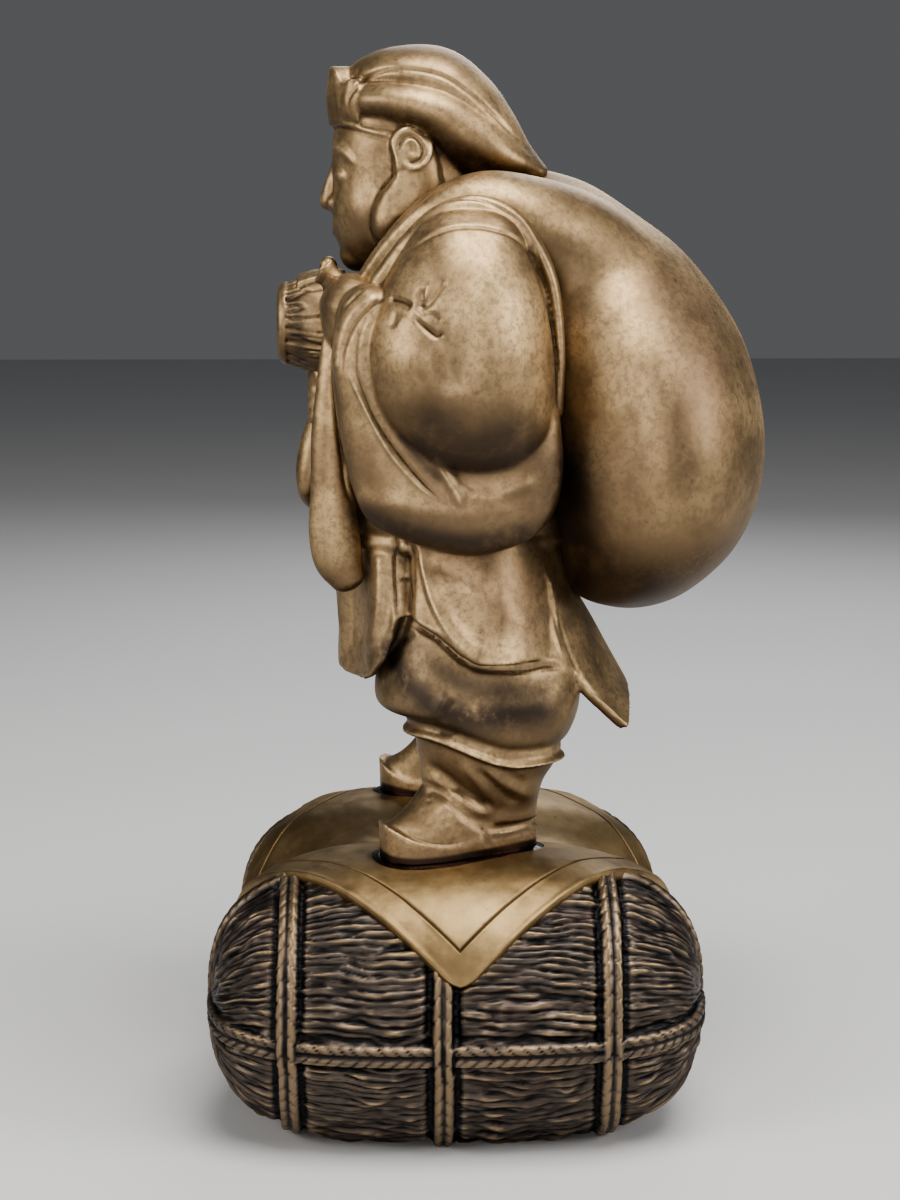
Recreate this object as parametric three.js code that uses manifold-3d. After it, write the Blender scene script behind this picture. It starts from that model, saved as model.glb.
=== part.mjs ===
// Daikoku, god of the harvest, on two bales of rice: a cast bronze figure fixed on a cast bronze base.
// Millimetres. He faces -Y, his left hand is on the +X side and +Z is up. The origin is at the middle of
// the object's box, on the surface that the bales stand on.
import * as THREE from "three";
import { mergeVertices } from "three/addons/utils/BufferGeometryUtils.js";
import Module from "manifold-3d";

const wasm = await Module();
wasm.setup();

// The base: two bales side by side, each lying along Y, under one square cloth laid cornerwise.
const BALE_LENGTH = 219;
const RIGHT_BALE_LENGTH = 204;
const BALE_WIDTH = 120;
const BALE_HEIGHT = 122.6;
const BALE_FLAT_DEPTH = 6.6; // how much of each round bale is cut off flat below
const BALE_SPACING = 116;
const STRAW_RIDGES = 10;
const STRAW_DEPTH = 1.3;
const HOOP_WIDTH = 9;
const HOOP_HEIGHT = 2.2;
const HOOP_PLACES = [-74, -7, 66]; // along Y, from the middle of the bale
const ROPE_WIDTH = 9;
const ROPE_HEIGHT = 2;
const GIRTH_ROPE_LEVEL = 52;
const WEB_WIDTH = 9;
const WEB_LENGTH = 124;
const CLOTH_HALF_DIAGONAL = 138;
const CLOTH_THICKNESS = 2.4;
const CLOTH_SHOULDER = 16; // how far it lies level on the inner side of each bale's ridge
const CLOTH_DIP = 12; // how deep it sags between the bales in the middle
const CLOTH_SAG = 27; // and at its front and back corners
const UNDER_CLOTH = 3; // how much lower the straw lies where the cloth covers it
const CLOTH_ROOT = 9; // how deep its underside reaches into the straw, so that no gap is left there

// The figure. Its tables are drawn for a height of 355 and grow with it.
const FIGURE_HEIGHT = 355;
const SOLE_GAP = 0.3; // between the soles and the cloth

const figureScale = FIGURE_HEIGHT / 355;
const footX = BALE_SPACING / 2 / figureScale;

// Small helpers
const mix = (a, b, t) => a + (b - a) * t;
const clamp = (v, low, high) => Math.min(high, Math.max(low, v));
const radians = THREE.MathUtils.degToRad;
const point = (x, y, z) => new THREE.Vector3(x, y, z);
const steps = (count, make) => Array.from({ length: count + 1 }, (_, i) => make(i / count));

// v to a power that keeps its sign, which turns a circle into a superellipse.
function power(v, exponent) {
  return Math.sign(v) * Math.abs(v) ** exponent;
}

// A bump 1 high at the middle that fades out over width.
function bump(distance, width) {
  return Math.exp(-((distance / width) ** 2));
}

// 0 below low, 1 above high, smooth between.
function ease(v, low, high) {
  const t = clamp((v - low) / (high - low), 0, 1);
  return t * t * (3 - 2 * t);
}

// The row at t, from 0 to 1, on a smooth curve through rows of numbers.
function spline(rows, t, closed = false) {
  const spans = closed ? rows.length : rows.length - 1;
  const at = clamp(t, 0, 1) * spans;
  const i = Math.min(Math.floor(at), spans - 1);
  const f = at - i;
  const row = (k) => rows[closed ? (k + rows.length) % rows.length : clamp(k, 0, rows.length - 1)];
  const [before, from, to, after] = [row(i - 1), row(i), row(i + 1), row(i + 2)];
  return from.map((b, c) => {
    const slopeIn = (to[c] - before[c]) / 2;
    const slopeOut = (after[c] - b) / 2;
    const cubic = 2 * b - 2 * to[c] + slopeIn + slopeOut;
    const square = -3 * b + 3 * to[c] - 2 * slopeIn - slopeOut;
    return ((cubic * f + square) * f + slopeIn) * f + b;
  });
}

// The value at x in rows of [x, value], along straight lines.
function lookUp(rows, x) {
  if (x <= rows[0][0]) return rows[0][1];
  for (let i = 1; i < rows.length; i++) {
    const [x0, v0] = rows[i - 1];
    const [x1, v1] = rows[i];
    if (x <= x1) return mix(v0, v1, (x - x0) / (x1 - x0));
  }
  return rows.at(-1)[1];
}

// Solids
// A closed skin over rings that all have as many points, with a fan over the first and the last.
function skin(rings) {
  const count = rings[0].length;
  const points = rings.flat();
  const triangles = [];
  for (let i = 0; i + 1 < rings.length; i++) {
    for (let j = 0; j < count; j++) {
      const k = (j + 1) % count;
      const [a, b, c, d] = [i * count + j, i * count + k, (i + 1) * count + k, (i + 1) * count + j];
      triangles.push(a, b, c, a, c, d);
    }
  }
  for (const [ring, first, back] of [
    [rings[0], 0, true],
    [rings.at(-1), (rings.length - 1) * count, false],
  ]) {
    const middle = ring.reduce((sum, p) => sum.add(p), point(0, 0, 0)).divideScalar(count);
    points.push(middle);
    for (let j = 0; j < count; j++) {
      const [p, q] = [first + j, first + ((j + 1) % count)];
      triangles.push(...(back ? [q, p] : [p, q]), points.length - 1);
    }
  }
  const geometry = new THREE.BufferGeometry().setFromPoints(points);
  geometry.setIndex(triangles);
  return geometry;
}

// A three.js geometry as a manifold-3d solid, with its faces turned out.
function solid(geometry) {
  const bare = geometry.index ? geometry.toNonIndexed() : geometry.clone();
  for (const name of Object.keys(bare.attributes)) {
    if (name !== "position") bare.deleteAttribute(name);
  }
  const merged = mergeVertices(bare, 1e-4);
  const triVerts = [];
  for (let i = 0; i < merged.index.count; i += 3) {
    const [a, b, c] = [0, 1, 2].map((k) => merged.index.getX(i + k));
    if (a !== b && b !== c && c !== a) triVerts.push(a, b, c);
  }
  const build = (order) =>
    new wasm.Manifold(
      new wasm.Mesh({
        numProp: 3,
        vertProperties: new Float32Array(merged.attributes.position.array),
        triVerts: new Uint32Array(order),
      }),
    );
  const made = build(triVerts);
  return made.volume() > 0 ? made : build(triVerts.reverse());
}

// The parts as one body. Bubbles sealed in where their forms meet are filled.
function join(parts) {
  const bodies = parts.reduce((whole, part) => whole.add(part)).decompose();
  return bodies.reduce((most, body) => (body.volume() > most.volume() ? body : most));
}

function geometryOf(made) {
  const mesh = made.getMesh();
  const geometry = new THREE.BufferGeometry();
  geometry.setAttribute("position", new THREE.BufferAttribute(mesh.vertProperties, 3));
  geometry.setIndex(new THREE.BufferAttribute(mesh.triVerts, 1));
  return geometry;
}

// An upright form. Rows are [z, x, y, half width, half depth]; relief(angle, z) is added outwards.
function column(rows, { sides, levels, roundness = 2, relief = () => 0 }) {
  const rings = steps(levels, (t) => {
    const [z, x, y, halfWidth, halfDepth] = spline(rows, t);
    return steps(sides, (s) => s * 2 * Math.PI)
      .slice(0, -1)
      .map((angle) => {
        const out = relief(angle, z);
        return point(
          x + (halfWidth + out) * power(Math.cos(angle), 2 / roundness),
          y + (halfDepth + out) * power(Math.sin(angle), 2 / roundness),
          z,
        );
      });
  });
  return solid(skin(rings));
}

// A form along a line. Rows are [x, y, z, half width, half height]. The half width lies along `across`,
// made square to the line, and the half height square to both. Rounded ends close like a ball.
function limb(rows, { sides, levels, across = point(1, 0, 0), round = true, relief = () => 0 }) {
  const stations = steps(levels, (t) => ({ t, row: spline(rows, t) }));
  const places = stations.map(({ row }) => point(row[0], row[1], row[2]));
  const ringAt = (i, shrink, push) => {
    const ahead = places[Math.min(i + 1, levels)].clone().sub(places[Math.max(i - 1, 0)]).normalize();
    const side = across.clone().addScaledVector(ahead, -across.dot(ahead)).normalize();
    const up = new THREE.Vector3().crossVectors(ahead, side);
    const [, , , halfWidth, halfHeight] = stations[i].row;
    const middle = places[i].clone().addScaledVector(ahead, push * Math.min(halfWidth, halfHeight));
    return steps(sides, (s) => s * 2 * Math.PI)
      .slice(0, -1)
      .map((angle) => {
        const out = relief(angle, stations[i].t);
        return middle
          .clone()
          .addScaledVector(side, (halfWidth + out) * shrink * Math.cos(angle))
          .addScaledVector(up, (halfHeight + out) * shrink * Math.sin(angle));
      });
  };
  const rings = stations.map((_, i) => ringAt(i, 1, 0));
  if (round) {
    const turn = radians(55);
    rings.unshift(ringAt(0, Math.cos(turn), -Math.sin(turn)));
    rings.push(ringAt(levels, Math.cos(turn), Math.sin(turn)));
  }
  return solid(skin(rings));
}

function ellipsoid([x, y, z], [rx, ry, rz], sides) {
  const geometry = new THREE.SphereGeometry(1, sides, 6);
  return solid(geometry.rotateX(Math.PI / 2).scale(rx, ry, rz).translate(x, y, z));
}

// A flat form with a soft edge. The outline's rows are [y, z]; it fills from x = inner to x = outer. Each
// layer is [share of the way out, share of the outline's size].
function cushion(outline, { inner, outer, points, layers = FLAT_LAYERS }) {
  const loop = steps(points, (t) => spline(outline, t, true)).slice(0, -1);
  const middle = [0, 1].map((c) => loop.reduce((sum, place) => sum + place[c], 0) / points);
  const ring = ([out, size]) =>
    loop.map(([y, z]) => point(mix(inner, outer, out), mix(middle[0], y, size), mix(middle[1], z, size)));
  return solid(skin(layers.map(ring)));
}
const FLAT_LAYERS = [[0, 0.9], [0.3, 1], [0.75, 1], [0.93, 0.94], [1, 0.78]];
const UNDERCUT_LAYERS = [[0, 0.9], [0.3, 1], [0.58, 1], [0.84, 0.94], [1, 0.7]];
const DOMED_LAYERS = [[0, 0.96], [0.36, 1], [0.55, 0.95], [0.72, 0.84], [0.88, 0.62], [1, 0.3]];

// A thick sheet between two faces, each given by at(u, v) with u and v from 0 to 1.
function sheet(front, back, across, down) {
  const edge = [];
  for (let i = 0; i < across; i++) edge.push([i / across, 0]);
  for (let j = 0; j < down; j++) edge.push([1, j / down]);
  for (let i = across; i > 0; i--) edge.push([i / across, 1]);
  for (let j = down; j > 0; j--) edge.push([0, j / down]);
  const points = [];
  const triangles = [];
  const face = (at, flip) => {
    const first = points.length;
    for (let j = 0; j <= down; j++) {
      for (let i = 0; i <= across; i++) points.push(at(i / across, j / down));
    }
    for (let j = 0; j < down; j++) {
      for (let i = 0; i < across; i++) {
        const a = first + j * (across + 1) + i;
        const [b, c, d] = [a + 1, a + across + 2, a + across + 1];
        triangles.push(...(flip ? [a, c, b, a, d, c] : [a, b, c, a, c, d]));
      }
    }
    return ([u, v]) => first + Math.round(v * down) * (across + 1) + Math.round(u * across);
  };
  const ahead = face(front, false);
  const behind = face(back, true);
  edge.forEach((at, i) => {
    const next = edge[(i + 1) % edge.length];
    const [a, b, c, d] = [ahead(at), behind(at), behind(next), ahead(next)];
    triangles.push(a, b, c, a, c, d);
  });
  const geometry = new THREE.BufferGeometry().setFromPoints(points);
  geometry.setIndex(triangles);
  return solid(geometry);
}

// The same solid on the other side of the middle plane.
function mirrored(made) {
  return made.mirror([1, 0, 0]);
}

// The bale's own shape
const baleHalf = { x: BALE_WIDTH / 2, y: BALE_LENGTH / 2, z: (BALE_HEIGHT + BALE_FLAT_DEPTH) / 2 };
const baleX = BALE_SPACING / 2;
const baleZ = baleHalf.z - BALE_FLAT_DEPTH;
const END_SHARES = [0.14, 0.42, 0.67]; // of the bale's width, where its end's rings are
const END_ROUNDNESS = 3; // superellipse power of the bale seen from the side
const GIRTH_ROUNDNESS = 2.15; // and of the bale seen from its end

// How far along Y and how wide, as a share, the bale is at `turn`, from -90 degrees at one end to 90.
function baleProfile(turn) {
  return [baleHalf.y * power(Math.sin(turn), 2 / END_ROUNDNESS), Math.cos(turn) ** (2 / END_ROUNDNESS)];
}

// A point on the bale at +X: `angle` goes round from +X up over the top, and lift stands off it.
function balePoint(y, share, angle, lift = 0) {
  const girth = 2 / GIRTH_ROUNDNESS;
  return point(
    baleX + (baleHalf.x * share + lift) * power(Math.cos(angle), girth),
    y,
    baleZ + (baleHalf.z * share + lift) * power(Math.sin(angle), girth),
  );
}

// How high a ridge of straw stands, or how deep the furrow beside it lies: crest is 1 or -1.
function strawRelief(crest, angle, y) {
  return STRAW_DEPTH * crest * (0.75 + 0.25 * Math.sin(3 * angle + y / 17));
}

// Two ropes run the length of each bale and cross in the middle of its ends: one level round its girth,
// the other over its top. These are the angles that they lie at.
const girthAngle = Math.asin((GIRTH_ROPE_LEVEL - baleZ) / baleHalf.z);
const ropeAngles = [girthAngle, Math.PI / 2, Math.PI - girthAngle, 1.5 * Math.PI, girthAngle + 2 * Math.PI];
const ropeHalfAngle = ROPE_WIDTH / 2 / baleHalf.z;

// The columns round a bale: four draw each rope's section, and the straw's ridges lie between.
function baleColumns() {
  return ropeAngles.slice(0, -1).flatMap((from, i) => {
    const to = ropeAngles[i + 1];
    const ridges = Math.round((STRAW_RIDGES * (to - from)) / (2 * Math.PI));
    const straws = steps(2 * ridges, (s) => ({ i, share: mix(0.1, 0.9, s), rope: 0 })).slice(1, -1);
    straws.forEach((straw, k) => (straw.crest = k % 2 ? -1 : 1));
    const section = [[1, -1.3, 0], [1, -0.8, 1], [0, 0.8, 1], [0, 1.3, 0]];
    const [last, crest, top, first] = section.map(([share, offset, rope]) => ({ i, share, offset, rope }));
    return [top, first, ...straws, last, crest];
  });
}

// The column's angle where the bale is only `share` as wide: a rope keeps its width there.
function columnAngle({ i, share, offset = 0 }, narrow) {
  const half = Math.min(ropeHalfAngle / narrow, 0.42);
  const [from, to] = [ropeAngles[i], ropeAngles[i + 1]];
  if (offset) return mix(from, to, share) + offset * half;
  return mix(from + 1.3 * half, to - 1.3 * half, (share - 0.1) / 0.8);
}

// The two bales aren't equally long. A place at x keeps its share of the length there.
function lengthAt(x) {
  return mix(RIGHT_BALE_LENGTH / BALE_LENGTH, 1, clamp((x + baleX) / BALE_SPACING, 0, 1));
}

// One bale: its ridged straw, its three hoops and its two ropes.
function bale(side) {
  const shareAt = (y) => (1 - Math.abs(y / baleHalf.y) ** END_ROUNDNESS) ** (1 / END_ROUNDNESS);
  const endAt = (share) => baleHalf.y * (1 - share ** END_ROUNDNESS) ** (1 / END_ROUNDNESS);
  const endRows = (end) => END_SHARES.map((share) => ({ y: end * endAt(share), share, hoop: 0 }));
  const hoopRows = HOOP_PLACES.flatMap((place) =>
    [[-0.56, 0], [-0.4, 1], [0.4, 1], [0.56, 0]].map(([offset, hoop]) => {
      const y = place + offset * HOOP_WIDTH;
      return { y, share: shareAt(y), hoop };
    }),
  );
  const rows = [...endRows(-1), ...hoopRows, ...endRows(1).reverse()];
  const columns = baleColumns();
  const rings = rows.map(({ y, share, hoop }) =>
    columns.map((column) => {
      const { rope, crest = 0 } = column;
      const angle = columnAngle(column, share);
      const covered = ease(CLOTH_HALF_DIAGONAL - clothReach(y, angle), 4, 12);
      const tied = Math.max(hoop * HOOP_HEIGHT, rope * ROPE_HEIGHT);
      const grain = (1 - hoop) * share * strawRelief(crest, angle, y);
      const p = balePoint(y, share, angle, mix(tied * share ** 2 + grain, -UNDER_CLOTH, covered));
      p.y += Math.sign(y) * tied * (1 - share ** 2);
      return point(side * p.x, p.y * lengthAt(side * baleX), Math.max(p.z, 0));
    }),
  );
  return solid(skin(rings));
}

// Tables of [distance along the skin from the top of the bale, turn or angle]
function arcTable(pointAt, from, to) {
  const rows = [[0, from]];
  let [length, last] = [0, pointAt(from)];
  for (const t of steps(240, (s) => mix(from, to, s)).slice(1)) {
    const next = pointAt(t);
    length += Math.hypot(next[0] - last[0], next[1] - last[1]);
    rows.push([length, t]);
    last = next;
  }
  return rows;
}
const lengthwise = arcTable(
  (turn) => {
    const [y, share] = baleProfile(turn);
    return [y, baleHalf.z * share];
  },
  0,
  Math.PI / 2,
);
const crosswise = arcTable(
  (angle) => {
    const p = balePoint(0, 1, angle);
    return [p.x, p.z];
  },
  Math.PI / 2,
  -Math.PI / 6,
);

// How far over the cloth, from its middle, a place on the bale is: at its edge this is its half diagonal.
function clothReach(y, turned) {
  const angle = turned > Math.PI ? turned - 2 * Math.PI : turned;
  const turn = Math.asin(clamp(Math.abs(y) / baleHalf.y, 0, 1) ** (END_ROUNDNESS / 2));
  const along = lookUp(lengthwise.map(([length, t]) => [t, length]), turn);
  const outward = crosswise.map(([length, t]) => [t, length]).reverse();
  const across = angle > Math.PI / 2 ? 0 : lookUp(outward, Math.max(angle, -Math.PI / 6));
  return along + baleX + (angle < -Math.PI / 6 ? 999 : across);
}

// Where the cloth lies: a and b are distances over it, across the bales and along them.
function clothPoint(a, b, lift) {
  const [y, share] = baleProfile(lookUp(lengthwise, Math.abs(b)));
  const over = Math.max(0, Math.abs(a) - baleX) / Math.max(share, 0.4);
  const angle = lookUp(crosswise, over);
  const p = balePoint(y * Math.sign(b), share, angle, lift * mix(0.5, 1, share));
  p.y += Math.sign(b) * lift * (1 - share);
  p.x = Math.sign(a) * (over > 0 ? p.x : Math.abs(a));
  const betweenBales = Math.cos((Math.PI / 2) * Math.min(1, Math.abs(a) / (baleX - CLOTH_SHOULDER))) ** 2;
  p.z -= betweenBales * mix(CLOTH_DIP, CLOTH_SAG, ease(Math.abs(b), 40, CLOTH_HALF_DIAGONAL));
  p.y *= lengthAt(p.x);
  return p;
}

// The square cloth, laid cornerwise. Where it lies on a bale it reaches down into the straw.
function cloth() {
  const half = CLOTH_HALF_DIAGONAL / Math.SQRT2;
  const count = 8;
  const at = (lift, deeper) => (u, v) => {
    const [p, q] = [mix(-half, half, u), mix(-half, half, v)];
    const [across, along] = [(p + q) / Math.SQRT2, (q - p) / Math.SQRT2];
    return clothPoint(across, along, lift - deeper * ease(Math.abs(across), 0, 40));
  };
  return sheet(at(CLOTH_THICKNESS, 0), at(-1, CLOTH_ROOT), count, count);
}

// The metal that fills the narrow space where the two bales touch.
function web() {
  const [low, high] = [WEB_WIDTH * 2, BALE_HEIGHT - 24];
  const geometry = new THREE.BoxGeometry(WEB_WIDTH, WEB_LENGTH, high - low);
  return solid(geometry.translate(0, 0, (low + high) / 2));
}

function makeBase() {
  return join([bale(1), bale(-1), web(), cloth()]);
}

// Legs, for the left one: the right is its mirror image
const SOLE = { x: footX - 3, y: 1.5, halfLength: 37, halfWidth: 15.2, taper: 3.4, roundness: 2.3 };
const FOOT_TURN = 17; // degrees that the toes point outwards
const ANKLE = { x: footX - 6.5, y: 10, z: 29, halfWidth: 15, halfDepth: 24.5 };

// The welt's height at a distance in front of the sole's middle: it turns up at the toe.
function weltZ(ahead) {
  const low = 12;
  return 5.8 + (ahead > low ? 0.0165 * (ahead - low) ** 2 : 3.2 * ease(low - ahead, 0, 30));
}

function shoe() {
  const [sine, cosine] = [Math.sin(radians(FOOT_TURN)), Math.cos(radians(FOOT_TURN))];
  const turns = steps(12, (s) => s * 2 * Math.PI).slice(0, -1);
  // One ring round the sole's outline: z is given by the distance ahead.
  const round = (grow, z) =>
    turns.map((angle) => {
      const s = power(Math.sin(angle), 2 / SOLE.roundness);
      const out = (SOLE.halfWidth + SOLE.taper * s) * grow * power(Math.cos(angle), 2 / SOLE.roundness);
      const ahead = SOLE.halfLength * grow * s;
      return point(SOLE.x + ahead * sine + out * cosine, SOLE.y - ahead * cosine + out * sine, z(ahead));
    });
  const upper = (t) =>
    round(0.95, (ahead) => weltZ(ahead) + 0.4).map((place, i) => {
      const toe = ease(Math.sin(turns[i]), 0.2, 1);
      return point(
        mix(place.x, ANKLE.x + ANKLE.halfWidth * Math.cos(turns[i]), t),
        mix(place.y, ANKLE.y - ANKLE.halfDepth * Math.sin(turns[i]), t),
        mix(place.z, ANKLE.z, mix(1 - (1 - t) ** 2, t ** 1.7, toe)),
      );
    });
  const wall = [round(0.97, () => -4.5), round(1, (ahead) => weltZ(ahead) - 1.8), round(1, weltZ)];
  return solid(skin([...wall, upper(0), upper(0.45), upper(1)]));
}

// The rest of the leg in one: the folded gaiter, the gathered band below the knee, whose front rises
// towards the shin, and the full trouser leg over it.
function trouserLeg() {
  const rows = [
    [14, footX - 7.5, 18, 14.5, 18.5],
    [28, footX - 6.5, 13, 17.5, 26],
    [41.5, footX - 6, 13, 22, 31],
    [44.4, footX - 6, 12.5, 28, 36],
    [50.2, footX - 7, 12.5, 26.5, 34.5],
    [51.2, footX - 7.5, 13, 25, 32.5],
    [56, footX - 9.5, 12, 31, 39.5],
    [67, footX - 12.5, 10, 35, 45.5],
    [84, footX - 16, 10.5, 35.5, 45],
    [118, footX - 26, 8, 32, 40],
  ];
  const turns = steps(12, (s) => s * 2 * Math.PI).slice(0, -1);
  const rings = rows.map(([z, x, y, halfWidth, halfDepth]) =>
    turns.map((angle) => {
      const fold = 1.3 * Math.cos(3 * angle + z * 0.16) * bump(z - 30, 12);
      const along = y + (halfDepth + fold) * Math.sin(angle);
      const rise = mix(10.5, -2.5, ease(along, -16, 28)) * bump(z - 47.5, 12);
      return point(x + (halfWidth + fold) * Math.cos(angle), along, z + rise);
    }),
  );
  return solid(skin(rings));
}

// The coat below the waist: a panel over each hip, a slit in front of it, and pleated flaps in front
const SKIRT_Y = 8;
const SLIT_ANGLE = 31; // degrees forward of the side
const hipHem = [[0, 89], [7, 93], [12, 97], [17, 101], [SLIT_ANGLE - 5, 106]];
const flapHem = [[SLIT_ANGLE + 5, 100], [41, 89], [48, 80], [57, 76], [68, 75], [80, 76], [90, 84]];

// The hem's height at an angle in degrees, measured forward from the side.
function hemZ(forward) {
  if (forward < SLIT_ANGLE - 5) return lookUp(hipHem, Math.max(forward, 0));
  return forward > SLIT_ANGLE + 5 ? lookUp(flapHem, forward) : 107;
}

function skirtRelief(forward) {
  const slit = -6 * bump(forward - SLIT_ANGLE, 3.2);
  const pleats = forward > SLIT_ANGLE ? 2.2 * Math.cos(radians((forward - 47) * 11)) : 0;
  return slit + pleats * ease(forward, SLIT_ANGLE + 4, SLIT_ANGLE + 9);
}

function skirt() {
  const rows = [
    // z, half width, depth in front, depth behind
    [172, 60, 58, 40],
    [142, 66, 62, 42],
    [118, 74, 62, 44],
    [100, 81, 60, 46],
    [86, 86, 58.5, 48],
    [66, 89, 57, 50],
  ];
  const forwards = [-90, -45, -15, 0, 9, 18, 26, 28, 31, 34, 36, 47, 55, 63, 71, 80];
  const angles = [...forwards.map((f) => [f, 1]), ...forwards.slice(1).reverse().map((f) => [f, -1])];
  angles.splice(forwards.length, 0, [90, 1]);
  const ringAt = (t, shrink) =>
    angles.map(([forward, side]) => {
      const hem = hemZ(forward);
      const z = mix(rows[0][0], hem, t);
      const [, width, front, behind] = spline(rows, (rows[0][0] - z) / (rows[0][0] - rows.at(-1)[0]));
      const out = skirtRelief(forward) * ease(t, 0.15, 0.6) - shrink;
      const angle = radians(forward);
      const depth = forward > 0 ? front : behind;
      return point(side * (width + out) * Math.cos(angle), SKIRT_Y - (depth + out) * Math.sin(angle), z);
    });
  const rings = steps(3, (t) => ringAt(t, 0));
  rings.unshift(ringAt(0, 25));
  rings.push(ringAt(1, 5), ringAt(0.9, 30));
  return solid(skin(rings));
}

// The coat's tail: a panel that flares out backwards below the sack.
function coatTail() {
  const back = [[44, 128], [55, 112], [64, 97.5], [72.5, 82], [81.5, 66]]; // y, z down the middle
  const edge = [[40, 126], [43.6, 112], [48, 91], [59, 73], [77, 56]]; // y, z down each side
  const at = (out) => (u, v) => {
    const across = 2 * u - 1;
    const [[yBack, zBack], [yEdge, zEdge]] = [spline(back, v), spline(edge, v)];
    const t = across ** 2;
    const flare = mix(54, 60, v);
    return point(across * (flare - out * 0.6), mix(yBack, yEdge, t) - out, mix(zBack, zEdge, t) - out * 0.35);
  };
  return sheet(at(0), at(5), 6, 4);
}

// Body
function torso() {
  const rows = [
    [92, 0, 8, 58, 44],
    [125, 0, 4, 62, 52],
    [158, 0, -3, 62, 61],
    [185, 0, -3, 60, 56],
    [215, 0, 1, 62, 46],
    [242, 0, 4, 66, 38],
    [266, 0, 6, 60, 32],
    [281, 0, 2, 38, 27],
    [292, 0, -4, 22, 22],
  ];
  return column(rows, { sides: 12, levels: 6, roundness: 2.3 });
}

// The robe's collar: a rolled edge from each side of the neck down to the sash.
function collar() {
  const rows = [
    [24, 16, 278, 6, 4.5],
    [27, -12, 274, 7, 4.5],
    [22, -32, 254, 7, 4.5],
    [11, -46, 228, 7, 4.5],
    [-3, -56, 196, 6.5, 4.5],
  ];
  return limb(rows, { sides: 6, levels: 4 });
}

// The sash round the belly.
function sash() {
  const ring = (z, grow) =>
    steps(12, (s) => (s + 0.25) * 2 * Math.PI)
      .slice(0, -1)
      .map((angle) => point((63 + grow) * Math.cos(angle), 0.5 + (59 + grow) * Math.sin(angle), z));
  return solid(skin([ring(132, -6), ring(135, 2.8), ring(149, 2.8), ring(152, -6)]));
}

// Left arm: a full sleeve that hangs from a forearm raised to hold the sack
function leftSleeve() {
  const arm = cushion(
    [
      [4, 283],
      [-12, 279],
      [-24, 265],
      [-33, 248],
      [-41, 232],
      [-42.5, 216],
      [-39, 199],
      [-31, 185],
      [-19, 174],
      [-1, 165],
      [26, 167],
      [40, 181],
      [43, 200],
      [42, 225],
      [38, 250],
      [24, 278],
    ],
    { inner: 45, outer: 105, points: 18, layers: DOMED_LAYERS },
  );
  const wrist = limb(
    [
      [74, -6, 214, 20, 20],
      [66, -24, 228, 15, 17],
      [53, -38, 238, 10, 13],
    ],
    { sides: 7, levels: 2 },
  );
  const bag = cushion(
    [
      [-34, 250],
      [-48, 244],
      [-53, 222],
      [-52, 201],
      [-48.5, 180],
      [-44, 162],
      [-37, 149],
      [-20, 140.5],
      [0, 135],
      [16, 136],
      [33, 143],
      [43, 157],
      [45, 182],
      [36, 214],
      [-4, 236],
    ],
    { inner: 50, outer: 86, points: 18, layers: UNDERCUT_LAYERS },
  );
  const innerFold = limb(
    [
      [50, -52, 226, 4, 6],
      [50.5, -53, 208, 5.5, 7.5],
      [51.5, -54, 186, 6.5, 9],
      [51.5, -54, 162, 7, 9.5],
      [51.5, -53.5, 144, 7.5, 11],
      [51.5, -51.5, 131, 7, 11],
      [51.5, -47.5, 122, 5.5, 8],
    ],
    { sides: 6, levels: 5 },
  );
  return join([arm, wrist, bag, innerFold]);
}

// The raised edge of the armhole, over the shoulder and down behind the sleeve.
function armholeBand() {
  const rows = [
    [66, -33, 252, 5, 4],
    [68, -20, 268, 6, 4.5],
    [69, -7, 279, 6, 5],
    [69, 7, 283, 6, 5],
    [70, 21, 279, 6, 5],
    [72, 32, 267, 6, 4],
    [73, 40, 250, 5, 3],
    [72, 43.5, 222, 4, 2.4],
    [68, 43.5, 196, 3, 2],
  ];
  return limb(rows, { sides: 6, levels: 7 });
}

// Right arm: the forearm crosses in front of the belly and the sleeve hangs from it
function rightSleeve() {
  const upperArm = mirrored(ellipsoid([71.2, 10, 220], [32, 34, 58], 10));
  const forearm = limb(
    [
      [-76, 4, 190, 26, 30],
      [-68, -26, 190, 23, 27],
      [-46, -45, 193, 17, 21],
      [-22, -53, 197, 11, 13],
    ],
    { sides: 7, levels: 3 },
  );
  const bag = limb(
    [
      [-78, 30, 172, 14, 27],
      [-80, 2, 168, 16, 33],
      [-74, -30, 166, 15, 33],
      [-58, -56, 165, 12, 29],
      [-40, -64, 170, 8, 24],
    ],
    { sides: 9, levels: 4, across: point(-0.7, -0.7, 0) },
  );
  return join([upperArm, forearm, bag]);
}

// Sack: slung over the left shoulder and gathered in the left fist
function sack() {
  const axis = { y: 0.31, z: -0.95 };
  const top = { x: 4, y: 40, z: 292 };
  // along the axis, off it towards the back, half thickness, half width
  const rows = [
    [-6, -2, 8, 10],
    [5, -1, 22, 27],
    [22, 0, 35, 44],
    [45, 6, 45, 62],
    [72, 10, 51.5, 76],
    [98, 12, 54, 84],
    [130, 9, 54.5, 87],
    [158, 3, 50.5, 80],
    [178, -3, 40, 64],
    [190, -6, 22, 38],
    [194.5, -6, 6, 12],
  ];
  const rings = steps(10, (t) => {
    const [along, off, thick, wide] = spline(rows, t);
    return steps(18, (s) => s * 2 * Math.PI)
      .slice(0, -1)
      .map((angle) => {
        const back = off + thick * Math.sin(angle);
        return point(
          top.x + wide * Math.cos(angle),
          top.y + along * axis.y - back * axis.z,
          top.z + along * axis.z + back * axis.y,
        );
      });
  });
  return solid(skin(rings));
}

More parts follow.
